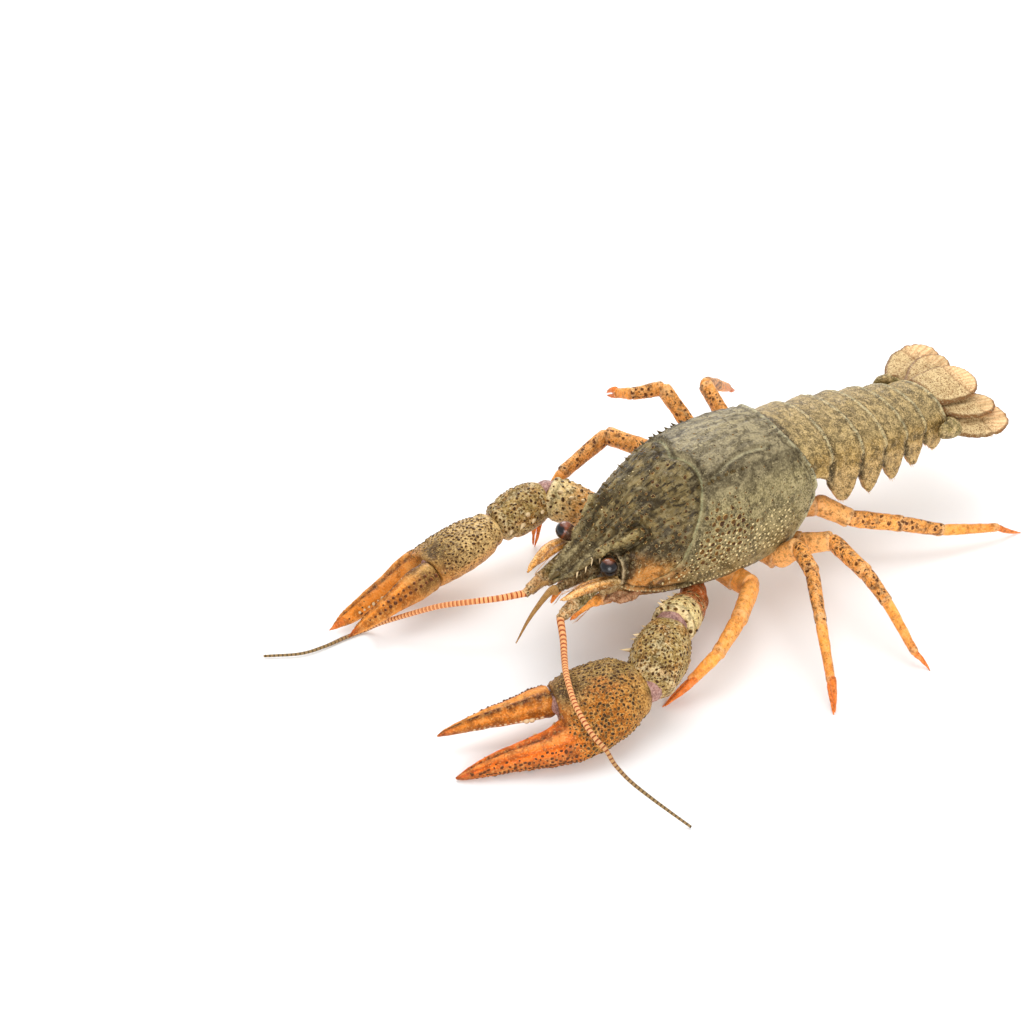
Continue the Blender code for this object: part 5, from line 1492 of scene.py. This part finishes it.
    bm = bmesh.new()
    add_tube(bm, (elbow.lerp(knee, 0.82), knee.lerp(elbow, 0.02), knee.lerp(wrist, 0.16)),
             (3.1, 3.5, 2.8), 16, 20)
    add_tube(bm, (knee.lerp(wrist, 0.84), wrist, matrix @ Vector((2.0, -0.4, 0.0))), (3.1, 3.0, 2.6), 16, 20)
    joint = matrix @ Vector((18.0, -2.0, 1.2))
    outward = matrix.col[1].xyz
    add_tube(bm, (joint - outward * 2.6, joint, joint + outward * 2.2), (1.2, 2.5, 1.2), 14, 16)
    skin, places, normals = fine_skin(f"claw_joint_skin_{side}", bm, SKIN_FACE, 3)
    push_skin(skin, places, normals, 0.2 * lumps(places, 1.3, 51))
    finish_piece(skin, "Joint membrane", "claw")


# Legs

def add_segment(bm, layers, start, end, low, high, index, sides=20, tip=False, bow=None):
    """Adds one segment of a limb, narrow where it is jointed and flared at its far end."""
    if tip:
        profile = ((-0.05, 0.5), (0.0, 0.9), (0.12, 1.0), (0.5, 0.72), (0.85, 0.36), (1.0, 0.1))
    else:
        profile = ((-0.05, 0.6), (0.0, 0.84), (0.05, 0.92), (0.16, 1.0), (0.45, 1.0), (0.8, 1.0),
                   (0.92, 1.06), (0.98, 1.04), (1.02, 0.82), (1.04, 0.5))
    count = 22
    first, last = profile[0][0], profile[-1][0]
    rings, marks = [], []
    for step in range(count):
        share = first + (last - first) * step / (count - 1)
        radius = smooth_table(profile, share)[0] * (low + (high - low) * min(max(share, 0.0), 1.0))
        centre = start.lerp(end, share)
        if bow is not None:
            centre = centre + bow * math.sin(math.pi * min(max(share, 0.0), 1.0))
        rings.append((centre, radius, share))
    frames = path_frames([ring[0] for ring in rings])
    before = len(bm.verts)
    loops = []
    for (centre, _, across, rise), (_, radius, share) in zip(frames, rings):
        loop = []
        for side in range(sides):
            angle = 2.0 * math.pi * side / sides
            wide, high = radius * 0.88 * math.cos(angle), radius * 1.06 * math.sin(angle)
            loop.append(centre + across * wide + rise * high)
        loops.append(loop)
        marks.extend([share] * sides)
    add_loft(bm, loops)
    bm.verts.ensure_lookup_table()
    marks += [first, last]
    for vert, share in zip(list(bm.verts)[before:], marks):
        vert[layers[0]] = index
        vert[layers[1]] = share


def leg_radii(name):
    girth = 1.12 if name.endswith("_1") else 1.0
    return [radius * girth for radius in LEG_RADII]


def make_leg(name, joints, hue):
    """Makes one walking leg with its pincers or its claw, mottled where the photo shows it."""
    points = [Vector(point) for point in joints]
    radii = leg_radii(name)
    bm = bmesh.new()
    layers = (bm.verts.layers.float.new("segment"), bm.verts.layers.float.new("share"))
    pincer = name in PINCER_LEGS
    for index in range(5):
        high = radii[index + 1] * (0.86 if index == 4 and not pincer else 1.0)
        add_segment(bm, layers, points[index], points[index + 1], radii[index] * 0.98, high, index)
    along = (points[6] - points[5]).normalized()
    aside = (points[5] - points[4]).normalized()
    aside = (aside - along * aside.dot(along)).normalized()
    if pincer:
        add_segment(bm, layers, points[5] - aside * 0.35, points[6], 0.72, 0.62, 5, 14, True, -aside * 0.25)
        add_segment(bm, layers, points[5].lerp(points[6], -0.12) + aside * 0.6,
                    points[5].lerp(points[6], 0.93) + aside * 0.5, 0.85, 0.7, 5, 14, True, aside * 0.35)
    else:
        add_segment(bm, layers, points[5], points[6], 0.68, 0.62, 5, 14, True, -aside * 0.35)
    leg = object_from_bmesh(name, bm)
    leg.name = name.replace("leg_", "walking_leg_")
    mesh = leg.data
    mesh.shade_smooth()
    places, normals = read_places(mesh)
    index = np.empty(len(mesh.vertices))
    mesh.attributes["segment"].data.foreach_get("value", index)
    share = np.empty(len(mesh.vertices))
    mesh.attributes["share"].data.foreach_get("value", share)
    cloud = lumps(places, 1.6, 61 + len(name))
    push_skin(leg, places, normals, 0.1 * cloud + 0.03)
    plain = name == "leg_left_1"
    speckle = ramp(0.08, 0.3, lumps(places, 0.95, 66)) * ramp(-0.6, 0.2, cloud)
    glint = ramp(0.2, 0.5, lumps(places, 0.9, 67)) * ramp(0.0, 0.7, normals[:, 2])
    marks = np.where(index == 2, 1.2, np.where(index == 3, 1.3, np.where(index == 1, 0.5, 0.4)))
    if plain:
        marks = marks * 0.25
    marks = marks * ramp(-0.9, -0.1, cloud) * ramp(-0.7, -0.2, normals[:, 2])
    band = bell(share - 0.95, 0.04) + 0.6 * bell(share - 0.02, 0.03)
    dress(mesh, marks, hue.leg,
          (hue.leg_brown, (index == 0) * 0.75 + (index == 3) * (0.15 if plain else 0.35)),
          (hue.leg_pale, (index == 1) * (0.1 if plain else 0.45) + (index == 2) * 0.12),
          (hue.leg_red, (index == 4) * 0.35 * ramp(0.2, 1.0, share) + (index == 5) * 0.75),
          (hue.leg_pale, ramp(-0.6, -0.95, normals[:, 2]) * 0.45 * (index < 5)),
          (hue.joint_band, band * (index < 5) * 0.35),
          (hue.leg_mark, bell(share - 1.005, 0.012) * (index < 4) * 0.7),
          (hue.leg_mark, speckle * ((index == 2) + (index == 3) + 0.35 * (index == 4))
           * (0.12 if plain else 0.78)),
          (hue.leg_pale, glint * 0.4 * (index < 5)))
    finish_piece(leg, "Leg", "leg", name)


def make_leg_hairs(sizes):
    """Thin bristles near the ends of the walking legs."""
    routes = []
    for joints in LEGS.values():
        knuckle, end = Vector(joints[4]), Vector(joints[5])
        routes.append([(knuckle.lerp(end, part) - UP * 0.6, (0.0, -0.15, -1.0), 0.05)
                       for part in np.linspace(0.35, 0.95, 8)])
    rows("leg_bristles", routes, "leg", "Fringe", sizes.seed, 0.42, 16.0, 0.2, 0.4)


# Head

# The small pieces around the mouth: points of each on the left side, and its radii.
MOUTH_FLAPS = (
    (((6.2, -41.0, 14.6), (6.8, -43.6, 14.6), (6.4, -45.8, 14.0), (5.6, -47.0, 13.0)), (1.0, 1.2, 1.0, 0.4)),
    (((8.0, -39.6, 14.6), (8.7, -42.2, 14.4), (8.3, -44.6, 14.2), (7.4, -46.0, 13.8)), (0.9, 1.1, 0.9, 0.3)),
    (((6.0, -43.5, 17.6), (6.9, -46.8, 18.0), (6.8, -49.2, 17.4)), (1.7, 1.8, 1.0)),
)


def make_eye(side):
    """Makes one wet dark eye on its short stalk."""
    sign = SIGNS[side]
    centre = Vector((sign * EYE_CENTRE[0], EYE_CENTRE[1], EYE_CENTRE[2]))
    root = Vector((sign * 3.2, -44.5, 21.6))
    away = (centre - root).normalized()
    bm = bmesh.new()
    bmesh.ops.create_uvsphere(bm, u_segments=36, v_segments=24, radius=1.0)
    for vert in bm.verts:
        vert.co = animal(centre + Vector(vert.co) * EYE_RADIUS * 1.03)
    eye = object_from_bmesh(f"eye_ball_{side}", bm)
    eye.data.shade_smooth()
    _, normals = read_places(eye.data)
    put_value(eye.data, "marks", np.clip(ramp(0.35, -0.5, normals @ np.array(away)) * 1.1
                                         + ramp(0.55, 1.0, normals[:, 2]) * 0.55, 0.0, 1.0))
    finish_piece(eye, "eye", "eye", f"eye_{side}")
    bm = bmesh.new()
    add_tube(bm, (root, root.lerp(centre, 0.5), centre - away * 1.3, centre - away * 0.35),
             (1.2, 1.35, 1.75, 1.93), 14, 20)
    stalk = object_from_bmesh(f"eye_stalk_{side}", bm)
    stalk.data.shade_smooth()
    finish_piece(stalk, "Eye stalk", "eye")


def make_head_part(node, name, slot, finish, face, painter):
    """Refines one small CAD part and paints it; the painter gives the push, the marks and the coats."""
    piece, places, normals = fine_skin(name, merged_copy(node), face, 2, 1)
    push, *coats = painter(places)
    push_skin(piece, places, normals, push)
    dress(piece.data, *coats)
    finish_piece(piece, finish, slot, node)


def make_head(sizes, hue):
    """Makes the scales beside the beak, the jaw legs and the mouth parts."""
    def paint_scale(places):
        cloud = lumps(places, 1.5, 71)
        front = ramp(-47.0, -49.0, places[:, 1])
        side = np.abs(places[:, 0])
        middle = np.interp(-places[:, 1], (45.4, 52.2, 58.6), (8.4, 7.5, 5.6))
        rib = bell(side - middle - 0.6, 0.35)
        push = 0.1 + 0.22 * rib - 0.2 * bell(side - middle + 0.5, 0.4) * front + 0.07 * cloud
        push += 0.3 * lumps(places, 0.9, 74) * (1.0 - front)
        return (push, 0.6 + 0.4 * cloud, hue.scale,
                (hue.palm_olive, (1.0 - front) * 0.8),
                ((0.9, 0.62, 0.3), rib * 0.6),
                ((0.14, 0.05, 0.015), bell(side - middle + 0.7, 0.4) * 0.85 * front),
                ((0.12, 0.05, 0.015), bell(side - middle - 1.6, 0.35) * 0.8 * front))

    def paint_jaw(places):
        cloud = lumps(places, 1.4, 72)
        return (0.12 * cloud - 0.2 * bell(places[:, 1] + 47.4, 0.4), 0.3 + 0.3 * cloud, hue.leg,
                (hue.joint_band, bell(places[:, 1] + 46.6, 0.7) * 0.7),
                (hue.leg_red, ramp(-51.0, -54.0, places[:, 1]) * 0.6))

    for side, sign in SIGNS.items():
        make_head_part(f"scale_{side}", f"feeler_scale_{side}", "scale", "Feeler scale", HEAD_FACE,
                       paint_scale)
        make_head_part(f"jaw_leg_{side}", f"mouth_leg_{side}", "jaw_leg", "Leg", HEAD_FACE, paint_jaw)
        lean = (-sign * 0.2, -1.0, -0.25)
        hairs = [[(Vector((sign * (x + shift), y, z - 0.9)), lean, 0.045)
                  for x, y, z in ((3.6, -47.0, 12.8), (4.3, -50.0, 13.2), (3.8, -52.8, 10.8))]
                 for shift in (-0.7, 0.0, 0.7)]
        hairs.append([(Vector((sign * (x - 1.5), y, z)), (-sign * 0.6, -1.0, 0.0), 0.05)
                      for x, y, z in ((8.0, -49.0, 20.1), (7.4, -52.4, 20.4), (6.2, -57.0, 18.9))])
        rows(f"mouth_fringe_{side}", hairs, "jaw_leg", "Fringe", sizes.seed, 0.3, 24.0, 0.2, 0.4)
        bm = bmesh.new()
        for points, radii in MOUTH_FLAPS:
            add_tube(bm, mirrored(points, sign), radii, 14, 16, 0.8)
        flaps, places, normals = fine_skin(f"mouth_flaps_{side}", bm, 0.24, 2)
        cloud = lumps(places, 1.2, 73)
        push_skin(flaps, places, normals, 0.14 * cloud)
        dress(flaps.data, 0.4 + 0.4 * cloud, hue.mouth,
              (hue.palm_olive, ramp(15.4, 16.6, places[:, 2]) * 0.7),
              (hue.dark, ramp(-0.1, -0.6, cloud) * 0.4))
        finish_piece(flaps, "Feeler scale", "jaw_leg")


# Feelers

SHORT_FEELER = ((1.5, -45.0, 18.4), (1.5, -53.0, 18.2), (1.3, -58.6, 17.6), (1.8, -63.2, 13.8),
                (2.4, -67.2, 9.6))


def polyline(route, size_low, size_high, near_band=0.9):
    """Places of a whip with their radius and a count of its colour bands, which are wider near its base."""
    count = len(route)
    band = 0.0
    places = []
    for index, point in enumerate(route):
        share = index / (count - 1)
        if index:
            wide = near_band + (WHIP_BAND_FAR - near_band) * float(ramp(0.06, 0.26, share))
            band += (point - route[index - 1]).length / wide
        places.append((point, (band, 0.0, 1.0), size_low + (size_high - size_low) * share ** 0.8))
    return places


def whip(name, routes, sizes, finish, slot, *nodes):
    """Grows ringed whips along routes."""
    values = {"Spacing": sizes.ring_spacing * MM, "Flare": 0.88, "Finish": KIT[finish]}
    finish_piece(grow(name, route_mesh(name, routes), KIT["ring"], values), None, slot, *nodes)


def limb(name, segments):
    """A jointed stem; gives the object and how far along its segment each vertex lies."""
    bm = bmesh.new()
    layers = (bm.verts.layers.float.new("segment"), bm.verts.layers.float.new("share"))
    for index, segment in enumerate(segments):
        add_segment(bm, layers, *segment, index)
    obj = object_from_bmesh(name, bm)
    obj.data.shade_smooth()
    share = np.empty(len(obj.data.vertices))
    obj.data.attributes["share"].data.foreach_get("value", share)
    return obj, share


def make_feelers(sizes, hue):
    """Makes the long ringed feelers on their jointed bases, and the forked short ones."""
    for side, sign in SIGNS.items():
        route = smooth_route(WHIPS[side], 150)
        whip(f"feeler_whip_{side}", [polyline(route, 0.82, 0.3, WHIP_BANDS[side])], sizes, "Feeler rings",
             "feeler", f"feeler_{side}")
        base = Vector((sign * 5.2, -48.5, 18.9))
        stem, share = limb(f"feeler_base_{side}", [
            (base.lerp(route[0], low), base.lerp(route[0], high), near, far)
            for low, high, near, far in ((0.0, 0.34, 1.9, 1.8), (0.32, 0.66, 1.8, 1.7),
                                         (0.64, 0.92, 1.6, 1.35), (0.9, 1.03, 1.15, 0.95))])
        places, normals = read_places(stem.data)
        cloud = lumps(places, 1.1, 81)
        push_skin(stem, places, normals, 0.12 * cloud)
        dress(stem.data, 0.9 + 0.3 * cloud, hue.palm_olive,
              (hue.feeler, ramp(-54.0, -57.0, places[:, 1]) * 0.6),
              (hue.dark, ramp(0.0, 0.6, cloud) * 0.5),
              (hue.joint_band, bell(share - 0.95, 0.05) * 0.5))
        finish_piece(stem, "Arm", "feeler")

        root, knuckle, fork, middle, end = (Vector(point) for point in mirrored(SHORT_FEELER, sign))
        stem, share = limb(f"short_feeler_base_{side}", (
            (root, knuckle.lerp(root, 0.3), 1.3, 1.2),
            (knuckle.lerp(root, 0.34), knuckle.lerp(fork, 0.2), 1.2, 1.1),
            (knuckle.lerp(fork, 0.24), knuckle.lerp(fork, 0.62), 1.0, 0.85)))
        dress(stem.data, np.full(len(share), 0.8), (0.34, 0.2, 0.08))
        finish_piece(stem, "Arm", "feeler")
        start = knuckle.lerp(fork, 0.6)
        upper = smooth_route([start, fork + Vector((sign * 0.3, 0.0, 0.2)),
                              middle + Vector((sign * 0.3, -0.2, 0.3)), end + Vector((sign * 0.3, 0.0, 0.2))], 40)
        lower = smooth_route([start, fork + Vector((-sign * 0.2, 0.2, -0.4)),
                              middle + Vector((-sign * 0.4, 0.4, -0.4)), end + Vector((-sign * 0.6, 1.0, 0.0))], 40)
        strands = [polyline(upper[:18], 0.6, 0.3)]
        if side == "left":
            strands = [polyline(upper, 1.15, 0.14), polyline(lower[:26], 0.9, 0.2)]
        whip(f"short_feeler_whips_{side}", strands, sizes, "Short feeler", "feeler", f"short_feeler_{side}")


def make_swimmerets(hue):
    """Refines the small paddles under the tail."""
    def paint(places):
        cloud = lumps(places, 1.2, 91)
        return 0.08 * cloud, 0.3 + 0.3 * cloud, hue.leg_pale, (hue.leg_red, ramp(0.0, 0.6, cloud) * 0.3)

    for number in range(1, 5):
        for side in SIGNS:
            make_head_part(f"swimmeret_{side}_{number}", f"tail_paddle_{side}_{number}", "swimmeret",
                           "Leg", 0.2, paint)


# Settings, operators and panel

def size_field(name, description, default, low, high):
    return FloatProperty(name=name, description=description, default=default, min=low, max=high)


def colour_field(name, description, default):
    return FloatVectorProperty(name=name, description=description, default=default, size=3, min=0.0, max=1.0,
                               subtype="COLOR")


class CrayfishSizes(bpy.types.PropertyGroup):
    """Sizes in millimetres that shape the relief and the small repeated parts."""
    skin_face: size_field("Skin face", "Size of the carapace's mesh faces, in millimetres", 0.36, 0.2, 1.0)
    groove_depth: size_field("Groove depth", "Depth of the neck groove, in millimetres", 0.62, 0.0, 1.5)
    tubercle_size: size_field("Tubercle size", "Radius of a claw's tubercles, in millimetres", 0.28, 0.1, 1.0)
    tubercle_spacing: size_field("Tubercle spacing", "Least gap of the tubercles, in millimetres", 0.74, 0.5, 4.0)
    spine_length: size_field("Spine length", "Share of the usual length of each spine", 1.0, 0.3, 2.0)
    ring_spacing: size_field("Ring spacing", "Length of one ring of a feeler, in millimetres", 0.3, 0.2, 2.0)
    fringe_length: size_field("Fringe length", "Length of the tail fan's fringe, in millimetres", 1.3, 0.0, 3.0)
    seed: IntProperty(name="Seed", description="Seed of everything scattered", default=4, min=0)


class CrayfishColours(bpy.types.PropertyGroup):
    """Colours of the crayfish's skin, region by region."""
    back: colour_field("Back", "Upper side of the carapace", (0.31, 0.255, 0.145))
    flank: colour_field("Flank", "Sides of the carapace", (0.285, 0.23, 0.105))
    flank_low: colour_field("Low flank", "Lowest part of the carapace's sides", (0.26, 0.19, 0.075))
    head_top: colour_field("Head top", "Upper side of the head", (0.15, 0.105, 0.036))
    head_side: colour_field("Head side", "Sides of the head", (0.075, 0.044, 0.01))
    cheek: colour_field("Cheek", "Orange glow on the cheek", (0.66, 0.27, 0.06))
    beak: colour_field("Beak", "Beak between the eyes", (0.1, 0.06, 0.018))
    groove_line: colour_field("Groove line", "Pale greenish line in the grooves", (0.36, 0.37, 0.2))
    rim_line: colour_field("Rim line", "Pale line along the rear edges", (0.5, 0.46, 0.28))
    tail_top: colour_field("Tail top", "Upper side of the tail plates", (0.36, 0.26, 0.11))
    tail_side: colour_field("Tail side", "Sides of the tail plates", (0.36, 0.22, 0.062))
    tail_light: colour_field("Tail light", "Light ochre patches of the tail plates", (0.66, 0.45, 0.17))
    palm_dark: colour_field("Palm dark", "Dark brown patch of the palm beside the hinge", (0.14, 0.055, 0.01))
    far_palm: colour_field("Far palm", "Yellow-olive palm of the right claw", (0.64, 0.45, 0.19))
    lobe: colour_field("Lobe", "Side lobes of the tail plates", (0.43, 0.27, 0.1))
    fan: colour_field("Fan", "Tail fan", (0.64, 0.46, 0.23))
    fan_tip: colour_field("Fan tip", "Far half of the tail fan", (0.97, 0.62, 0.32))
    palm: colour_field("Palm", "Palm of a claw", (0.45, 0.145, 0.012))
    palm_olive: colour_field("Olive", "Olive patches of the claws and joints", (0.25, 0.17, 0.05))
    finger: colour_field("Finger", "Fixed finger of a claw", (0.93, 0.175, 0.008))
    moving_finger: colour_field("Moving finger", "Moving finger of a claw", (0.82, 0.25, 0.025))
    finger_dark: colour_field("Finger furrow", "Dark furrows along the fingers", (0.07, 0.016, 0.003))
    finger_pale: colour_field("Finger ridge", "Pale ridges along the fingers", (0.8, 0.38, 0.1))
    finger_tip: colour_field("Finger tip", "Tips of the fingers", (0.62, 0.1, 0.02))
    wrist: colour_field("Wrist", "Wrist of a claw", (0.38, 0.24, 0.07))
    arm: colour_field("Arm", "Arm of a claw", (0.78, 0.6, 0.26))
    arm_base: colour_field("Arm base", "First piece of the arm", (0.42, 0.09, 0.015))
    under: colour_field("Underside", "Pale underside of the claws", (0.7, 0.3, 0.07))
    leg: colour_field("Leg", "Walking legs", (1.0, 0.37, 0.06))
    leg_brown: colour_field("Leg brown", "Mottled brown segments of the legs", (0.5, 0.22, 0.065))
    leg_pale: colour_field("Leg pale", "Cream parts of the legs", (0.95, 0.56, 0.22))
    leg_red: colour_field("Leg red", "Redder ends of the legs", (0.74, 0.13, 0.012))
    leg_mark: colour_field("Leg mark", "Dark marks of the legs", (0.07, 0.03, 0.012))
    joint_band: colour_field("Joint band", "Pale bands at the joints", (0.8, 0.6, 0.36))
    feeler: colour_field("Feeler", "Pale rings of the feelers", (0.9, 0.46, 0.19))
    feeler_dark: colour_field("Feeler dark", "Dark rings of the feelers", (0.38, 0.06, 0.014))
    scale: colour_field("Scale", "Scales beside the beak", (0.85, 0.36, 0.07))
    mouth: colour_field("Mouth", "Folded mouth parts", (0.46, 0.22, 0.11))
    membrane: colour_field("Membrane", "Skin between the pieces of a claw", (0.38, 0.2, 0.16))
    tubercle: colour_field("Tubercle", "Dark foot of a tubercle", (0.05, 0.02, 0.005))
    tubercle_foot: colour_field("Tubercle foot", "Paler foot of a tubercle", (0.55, 0.36, 0.13))
    granule: colour_field("Granule", "Small pale grains of the flank", (0.72, 0.58, 0.3))
    spine: colour_field("Spine", "Spines of the beak and arms", (0.74, 0.56, 0.32))
    eye: colour_field("Eye", "Wet dark eye", (0.004, 0.003, 0.004))
    eye_top: colour_field("Eye top", "Red-brown part of the eye", (0.2, 0.05, 0.015))
    dark: colour_field("Dark marks", "Dark marks of the skin", (0.03, 0.019, 0.006))
    pale: colour_field("Pale marks", "Pale marks of the skin", (0.66, 0.54, 0.29))
    floor: colour_field("Floor", "Studio floor", (0.9, 0.9, 0.9))


class MakeCarapace(bpy.types.Operator):
    """Make the carapace with its grooves, ridges, granules and beak"""
    bl_idname = "crayfish.carapace"
    bl_label = "Carapace"

    def execute(self, context):
        prepare_kit()
        make_carapace(*settings())
        return {"FINISHED"}


class MakeTail(bpy.types.Operator):
    """Make the six plates of the tail"""
    bl_idname = "crayfish.tail"
    bl_label = "Tail plates"

    def execute(self, context):
        prepare_kit()
        make_tail(*settings())
        return {"FINISHED"}


class MakeTailFan(bpy.types.Operator):
    """Make the tail fan with its blades, bases and fringe"""
    bl_idname = "crayfish.tail_fan"
    bl_label = "Tail fan"

    def execute(self, context):
        prepare_kit()
        make_tail_fan(*settings())
        return {"FINISHED"}


class MakeClaws(bpy.types.Operator):
    """Make both claws with their arms, wrists, tubercles and teeth"""
    bl_idname = "crayfish.claws"
    bl_label = "Claws"

    def execute(self, context):
        prepare_kit()
        sizes, hue = settings()
        for side, arm in ARMS.items():
            make_arm(side, arm, make_claw(side, arm, sizes, hue), sizes, hue)
        return {"FINISHED"}


class MakeLegs(bpy.types.Operator):
    """Make the eight walking legs"""
    bl_idname = "crayfish.legs"
    bl_label = "Walking legs"

    def execute(self, context):
        prepare_kit()
        sizes, hue = settings()
        for name, joints in LEGS.items():
            make_leg(name, joints, hue)
        make_leg_hairs(sizes)
        return {"FINISHED"}


class MakeHead(bpy.types.Operator):
    """Make the eyes, the scales beside the beak, the jaw legs and the mouth parts"""
    bl_idname = "crayfish.head"
    bl_label = "Head parts"

    def execute(self, context):
        prepare_kit()
        for side in SIGNS:
            make_eye(side)
        make_head(*settings())
        return {"FINISHED"}


class MakeFeelers(bpy.types.Operator):
    """Make the long and short ringed feelers"""
    bl_idname = "crayfish.feelers"
    bl_label = "Feelers"

    def execute(self, context):
        prepare_kit()
        make_feelers(*settings())
        return {"FINISHED"}


class MakeSwimmerets(bpy.types.Operator):
    """Make the small paddles under the tail"""
    bl_idname = "crayfish.swimmerets"
    bl_label = "Swimmerets"

    def execute(self, context):
        prepare_kit()
        make_swimmerets(settings()[1])
        return {"FINISHED"}


class MakeStage(bpy.types.Operator):
    """Make the pale floor, the soft lights and the camera"""
    bl_idname = "crayfish.stage"
    bl_label = "Stage"

    def execute(self, context):
        make_floor(settings()[1])
        make_lights()
        make_camera()
        return {"FINISHED"}


def make_floor(hue):
    bm = bmesh.new()
    bmesh.ops.create_grid(bm, x_segments=2, y_segments=2, size=3.0)
    floor = object_from_bmesh("studio_floor", bm)
    material, sheet, surface = start_material("Studio floor")
    cloud = sheet.noise(sheet.place(), 40.0, 3.0)
    sheet.feed(surface.inputs["Base Color"], sheet.mix(cloud, rgba(hue.floor), rgba(hue.floor, 1.015)))
    surface.inputs["Roughness"].default_value = 0.85
    floor.data.materials.append(material)


def add_light(name, place, target, size, power, colour=(1.0, 1.0, 1.0)):
    data = bpy.data.lights.new(name, "AREA")
    data.size = size
    data.energy = power
    data.color = colour
    light = bpy.data.objects.new(name, data)
    light.location = place
    light.rotation_euler = (Vector(target) - Vector(place)).to_track_quat("-Z", "Y").to_euler()
    bpy.context.scene.collection.objects.link(light)


def make_lights():
    world = bpy.data.worlds.new("Studio world")
    world.use_nodes = True
    background = next(node for node in world.node_tree.nodes if node.type == "BACKGROUND")
    background.inputs["Color"].default_value = (1.0, 1.0, 1.0, 1.0)
    background.inputs["Strength"].default_value = 0.74
    bpy.context.scene.world = world
    add_light("Top light", (-0.12, 0.1, 0.55), (0.0, 0.0, 0.02), 0.45, 1.75)
    add_light("Front light", (0.6, -0.32, 0.28), (0.0, 0.0, 0.02), 0.4, 3.1)
    add_light("Far light", (-0.55, 0.25, 0.35), (0.0, 0.0, 0.03), 0.35, 2.5)
    bpy.context.scene.view_settings.view_transform = "Standard"


def make_camera():
    """Places the camera at the photograph's angle: 55 degrees round and 37 degrees up."""
    turn = math.radians(55.0)
    rise = math.radians(37.0)
    right = Vector((math.cos(turn), math.sin(turn), 0.0))
    up = Vector((-math.sin(turn) * math.sin(rise), math.cos(turn) * math.sin(rise), math.cos(rise)))
    back = Vector((math.sin(turn) * math.cos(rise), -math.cos(turn) * math.cos(rise), math.sin(rise)))
    focal = 2600.0
    depth = focal / 4.7
    place = Vector((0.0, 0.0, 38.0)) + back * depth - right * (256.0 / 4.7) - up * (95.0 / 4.7)
    data = bpy.data.cameras.new("Photo camera")
    data.sensor_width = 36.0
    data.lens = focal / 1024.0 * 36.0
    data.clip_start = 0.01
    camera = bpy.data.objects.new("Photo camera", data)
    camera.matrix_world = Matrix.Translation(animal(place)) @ Matrix((right, up, back)).transposed().to_4x4()
    bpy.context.scene.collection.objects.link(camera)
    bpy.context.scene.camera = camera


OPERATORS = (MakeCarapace, MakeTail, MakeTailFan, MakeClaws, MakeLegs, MakeHead, MakeFeelers, MakeSwimmerets,
             MakeStage)


class CrayfishPanel(bpy.types.Panel):
    """Lists the pieces of the crayfish and their settings"""
    bl_idname = "VIEW3D_PT_crayfish"
    bl_label = "Crayfish"
    bl_space_type = "VIEW_3D"
    bl_region_type = "UI"
    bl_category = "Crayfish"

    def draw(self, context):
        for operator in OPERATORS:
            self.layout.operator(operator.bl_idname)
        for group in (context.scene.crayfish_sizes, context.scene.crayfish_colours):
            box = self.layout.box()
            for field in group.bl_rna.properties.keys():
                if field not in ("rna_type", "name"):
                    box.prop(group, field)


CLASSES = (CrayfishSizes, CrayfishColours) + OPERATORS + (CrayfishPanel,)


def register():
    for item in CLASSES:
        bpy.utils.register_class(item)
    bpy.types.Scene.crayfish_sizes = PointerProperty(type=CrayfishSizes)
    bpy.types.Scene.crayfish_colours = PointerProperty(type=CrayfishColours)


def unregister():
    del bpy.types.Scene.crayfish_colours
    del bpy.types.Scene.crayfish_sizes
    for item in reversed(CLASSES):
        bpy.utils.unregister_class(item)


def main():
    register()
    for make in (bpy.ops.crayfish.carapace, bpy.ops.crayfish.tail, bpy.ops.crayfish.tail_fan,
                 bpy.ops.crayfish.claws, bpy.ops.crayfish.legs, bpy.ops.crayfish.head,
                 bpy.ops.crayfish.feelers, bpy.ops.crayfish.swimmerets, bpy.ops.crayfish.stage):
        make()


if __name__ == "__main__":
    main()
